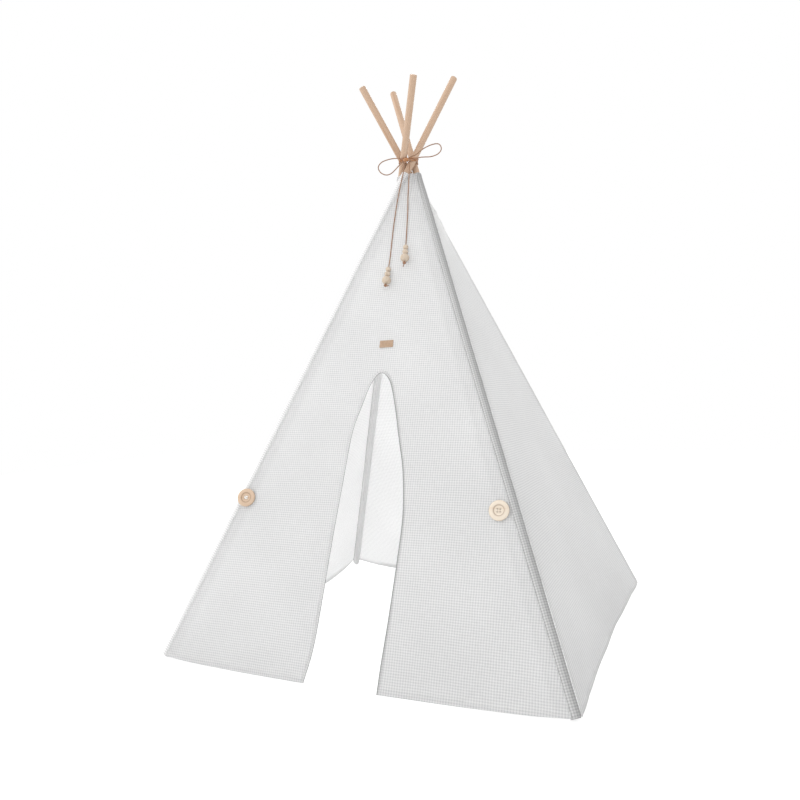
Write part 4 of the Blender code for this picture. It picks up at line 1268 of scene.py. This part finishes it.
def make_button(side, hand, slope, inset, turned, wood, thread, weight):
    """A turned button with four drilled holes, and its thread, which comes up from the cloth behind."""
    place, cloth_place = button_frame(hand, slope, inset, turned)
    profile = button_profile()
    points = [place @ p for p in turned_points(profile, BUTTON_SIDES)]
    faces = tube_faces(len(profile), BUTTON_SIDES)
    button = new_piece(f"button_{side}_turned", points, faces, wood, sharp=60)
    half = THREAD_HOLE_SPACING / 2
    pins = []
    for x, y in CORNERS.values():
        pins.append([place @ Vector((x * half, y * half, z)) for z in (-0.01, 0.0, 0.01)])
    cut_away(button, make_tubes("hole_pins", pins, HOLE_RADIUS, HOLE_SIDES, wood, tips=1.0))
    local = np.array([tuple(place.inverted() @ Vector(p)) for p in points_of(button)])
    set_vectors(button, "grain", local[:, ::-1] + (hand * 0.4, 0, hand))
    floor = BUTTON_THICKNESS - DISH_DEPTH
    away, up = np.hypot(local[:, 0], local[:, 1]), local[:, 2]
    # painted shade: a dark ring at the dish's groove, the button's side and down its holes
    dish_edge = np.exp(-(((away - DISH_RADIUS) / PAINTED_RING_WIDTH) ** 2))
    side_edge = 0.75 * (up < BUTTON_THICKNESS - 0.0024) * (away > BUTTON_RADIUS - 0.002)
    holes = (up < floor - 0.0004) * (away < DISH_RADIUS)
    painted_hollow_shade = np.maximum(np.maximum(dish_edge, side_edge), holes)
    set_vectors(button, "painted_hollow_shade", np.stack((painted_hollow_shade, painted_hollow_shade, painted_hollow_shade), axis=-1))
    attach(button, f"front_{side}_pole")
    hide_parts(f"button_{side}")
    below = place.inverted() @ cloth_place
    sunk = Vector((0, 0, floor - 0.0002))
    strands = []
    pairs = [((-half, y), (half, y)) for y in (half, -half)]
    if weight > 1:
        pairs += [((x, -half), (x, half)) for x in (half, -half)] + [((-half, -half), (half, half))]
    for k, ((x0, y0), (x1, y1)) in enumerate(pairs):
        for offset in np.linspace(-1, 1, weight + 1) * THREAD_RADIUS * 0.9:
            across = Vector((y1 - y0, x0 - x1, 0)).normalized() * offset
            ends = (Vector((x0, y0, 0)), Vector((x1, y1, 0)))
            up, down = ([below + end * 0.12, end + across * 0.4, end + across * 0.7 + sunk] for end in ends)
            hop = Vector((0, 0, floor + THREAD_RADIUS * (1.2 + 0.5 * k)))
            over = [ends[0].lerp(ends[1], t) + across + hop for t in (0.12, 0.35, 0.65, 0.88)]
            way = [*up, *over, *reversed(down)]
            strands.append([place @ p for p in smooth_route(way, THREAD_STEP)])
    threads = make_tubes(f"thread_{side}_strands", strands, THREAD_RADIUS * 0.75, THREAD_SIDES, thread)
    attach(threads, f"front_{side}_pole")
    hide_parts(f"thread_{side}")


for corner in CORNERS:
    make_pole(corner)
    make_sleeve(corner)
walls = {wall: make_wall(wall) for wall in WALLS}
binding = make_binding()
make_label()
make_button("left", -1, *LEFT_BUTTON, WARM_WOOD, WHITE_THREAD, 2)
make_button("right", 1, *RIGHT_BUTTON, PALE_WOOD, TAN_THREAD, 1)


# Floor, backdrop and light
def plain_share(s):
    """1 for the rays that meet the plain white background, and 0 for those that light the part. Light that
    scatters through cloth is both a transmission ray and a diffuse one, and it lights the part."""
    rays = s.add("LightPath").outputs
    share = s.maths("MAXIMUM", rays["Is Camera Ray"], rays["Is Glossy Ray"], clamp=True)
    share = s.maths("MAXIMUM", share, rays["Is Transmission Ray"], clamp=True)
    return s.maths("SUBTRACT", share, rays["Is Diffuse Ray"], clamp=True)


def make_stage():
    form = bmesh.new()
    bmesh.ops.create_grid(form, x_segments=8, y_segments=8, size=FLOOR_HALF_SIZE)
    mesh = bpy.data.meshes.new("floor")
    form.to_mesh(mesh)
    form.free()
    floor = bpy.data.objects.new("floor", mesh)
    floor.location.z = -FLOOR_DROP
    bpy.context.scene.collection.objects.link(floor)
    s = Shades("floor")
    place = s.add("TexCoord").outputs["Object"]
    roughness = s.span(s.noise(place, 6), 0.3, 0.7, 0.85, 0.95)
    s.feed_all(s.shader, {"Base Color": FLOOR_GREY, "Roughness": roughness, "Specular IOR Level": 0.1})
    dim = s.add("BsdfDiffuse", FLOOR_SEEN_GREY)
    glow = s.add("Emission", WHITE, FLOOR_SEEN_GLOW)
    seen = s.add("AddShader", dim.outputs[0], glow.outputs[0])
    mix = s.add("MixShader", plain_share(s), s.shader.outputs[0], seen.outputs[0])
    s.feed(s.output.inputs["Surface"], mix.outputs[0])
    mesh.materials.append(s.material)


def make_light():
    """A pale studio, brighter to the left and above, a weak key from the left and a broad light behind."""
    world = bpy.data.worlds.new("studio")
    bpy.context.scene.world = world
    world.use_nodes = True
    world.node_tree.nodes.clear()
    s = Nodes(world.node_tree)
    way = s.add("TexCoord").outputs["Generated"]
    lean = s.add("VectorMath", way, STUDIO_LEAN, operation="DOT_PRODUCT").outputs["Value"]
    soft = s.add("Background", WHITE, s.maths("ADD", lean, STUDIO_LEVEL))
    plain = s.add("Background", WHITE, 1.0)
    mix = s.add("MixShader", plain_share(s), soft.outputs[0], plain.outputs[0])
    s.feed(s.add("OutputWorld").inputs["Surface"], mix.outputs[0])
    for number, (*sun_from, energy) in enumerate(SUNS):
        lamp = bpy.data.lights.new(f"sun_{number}", "SUN")
        lamp.energy = energy
        lamp.angle = math.radians(SUN_DEGREES)
        sun = bpy.data.objects.new(f"sun_{number}", lamp)
        sun.rotation_euler = Vector(sun_from).to_track_quat("Z", "Y").to_euler()
        bpy.context.scene.collection.objects.link(sun)


make_stage()
make_light()
bpy.context.scene.view_settings.view_transform = "Standard"
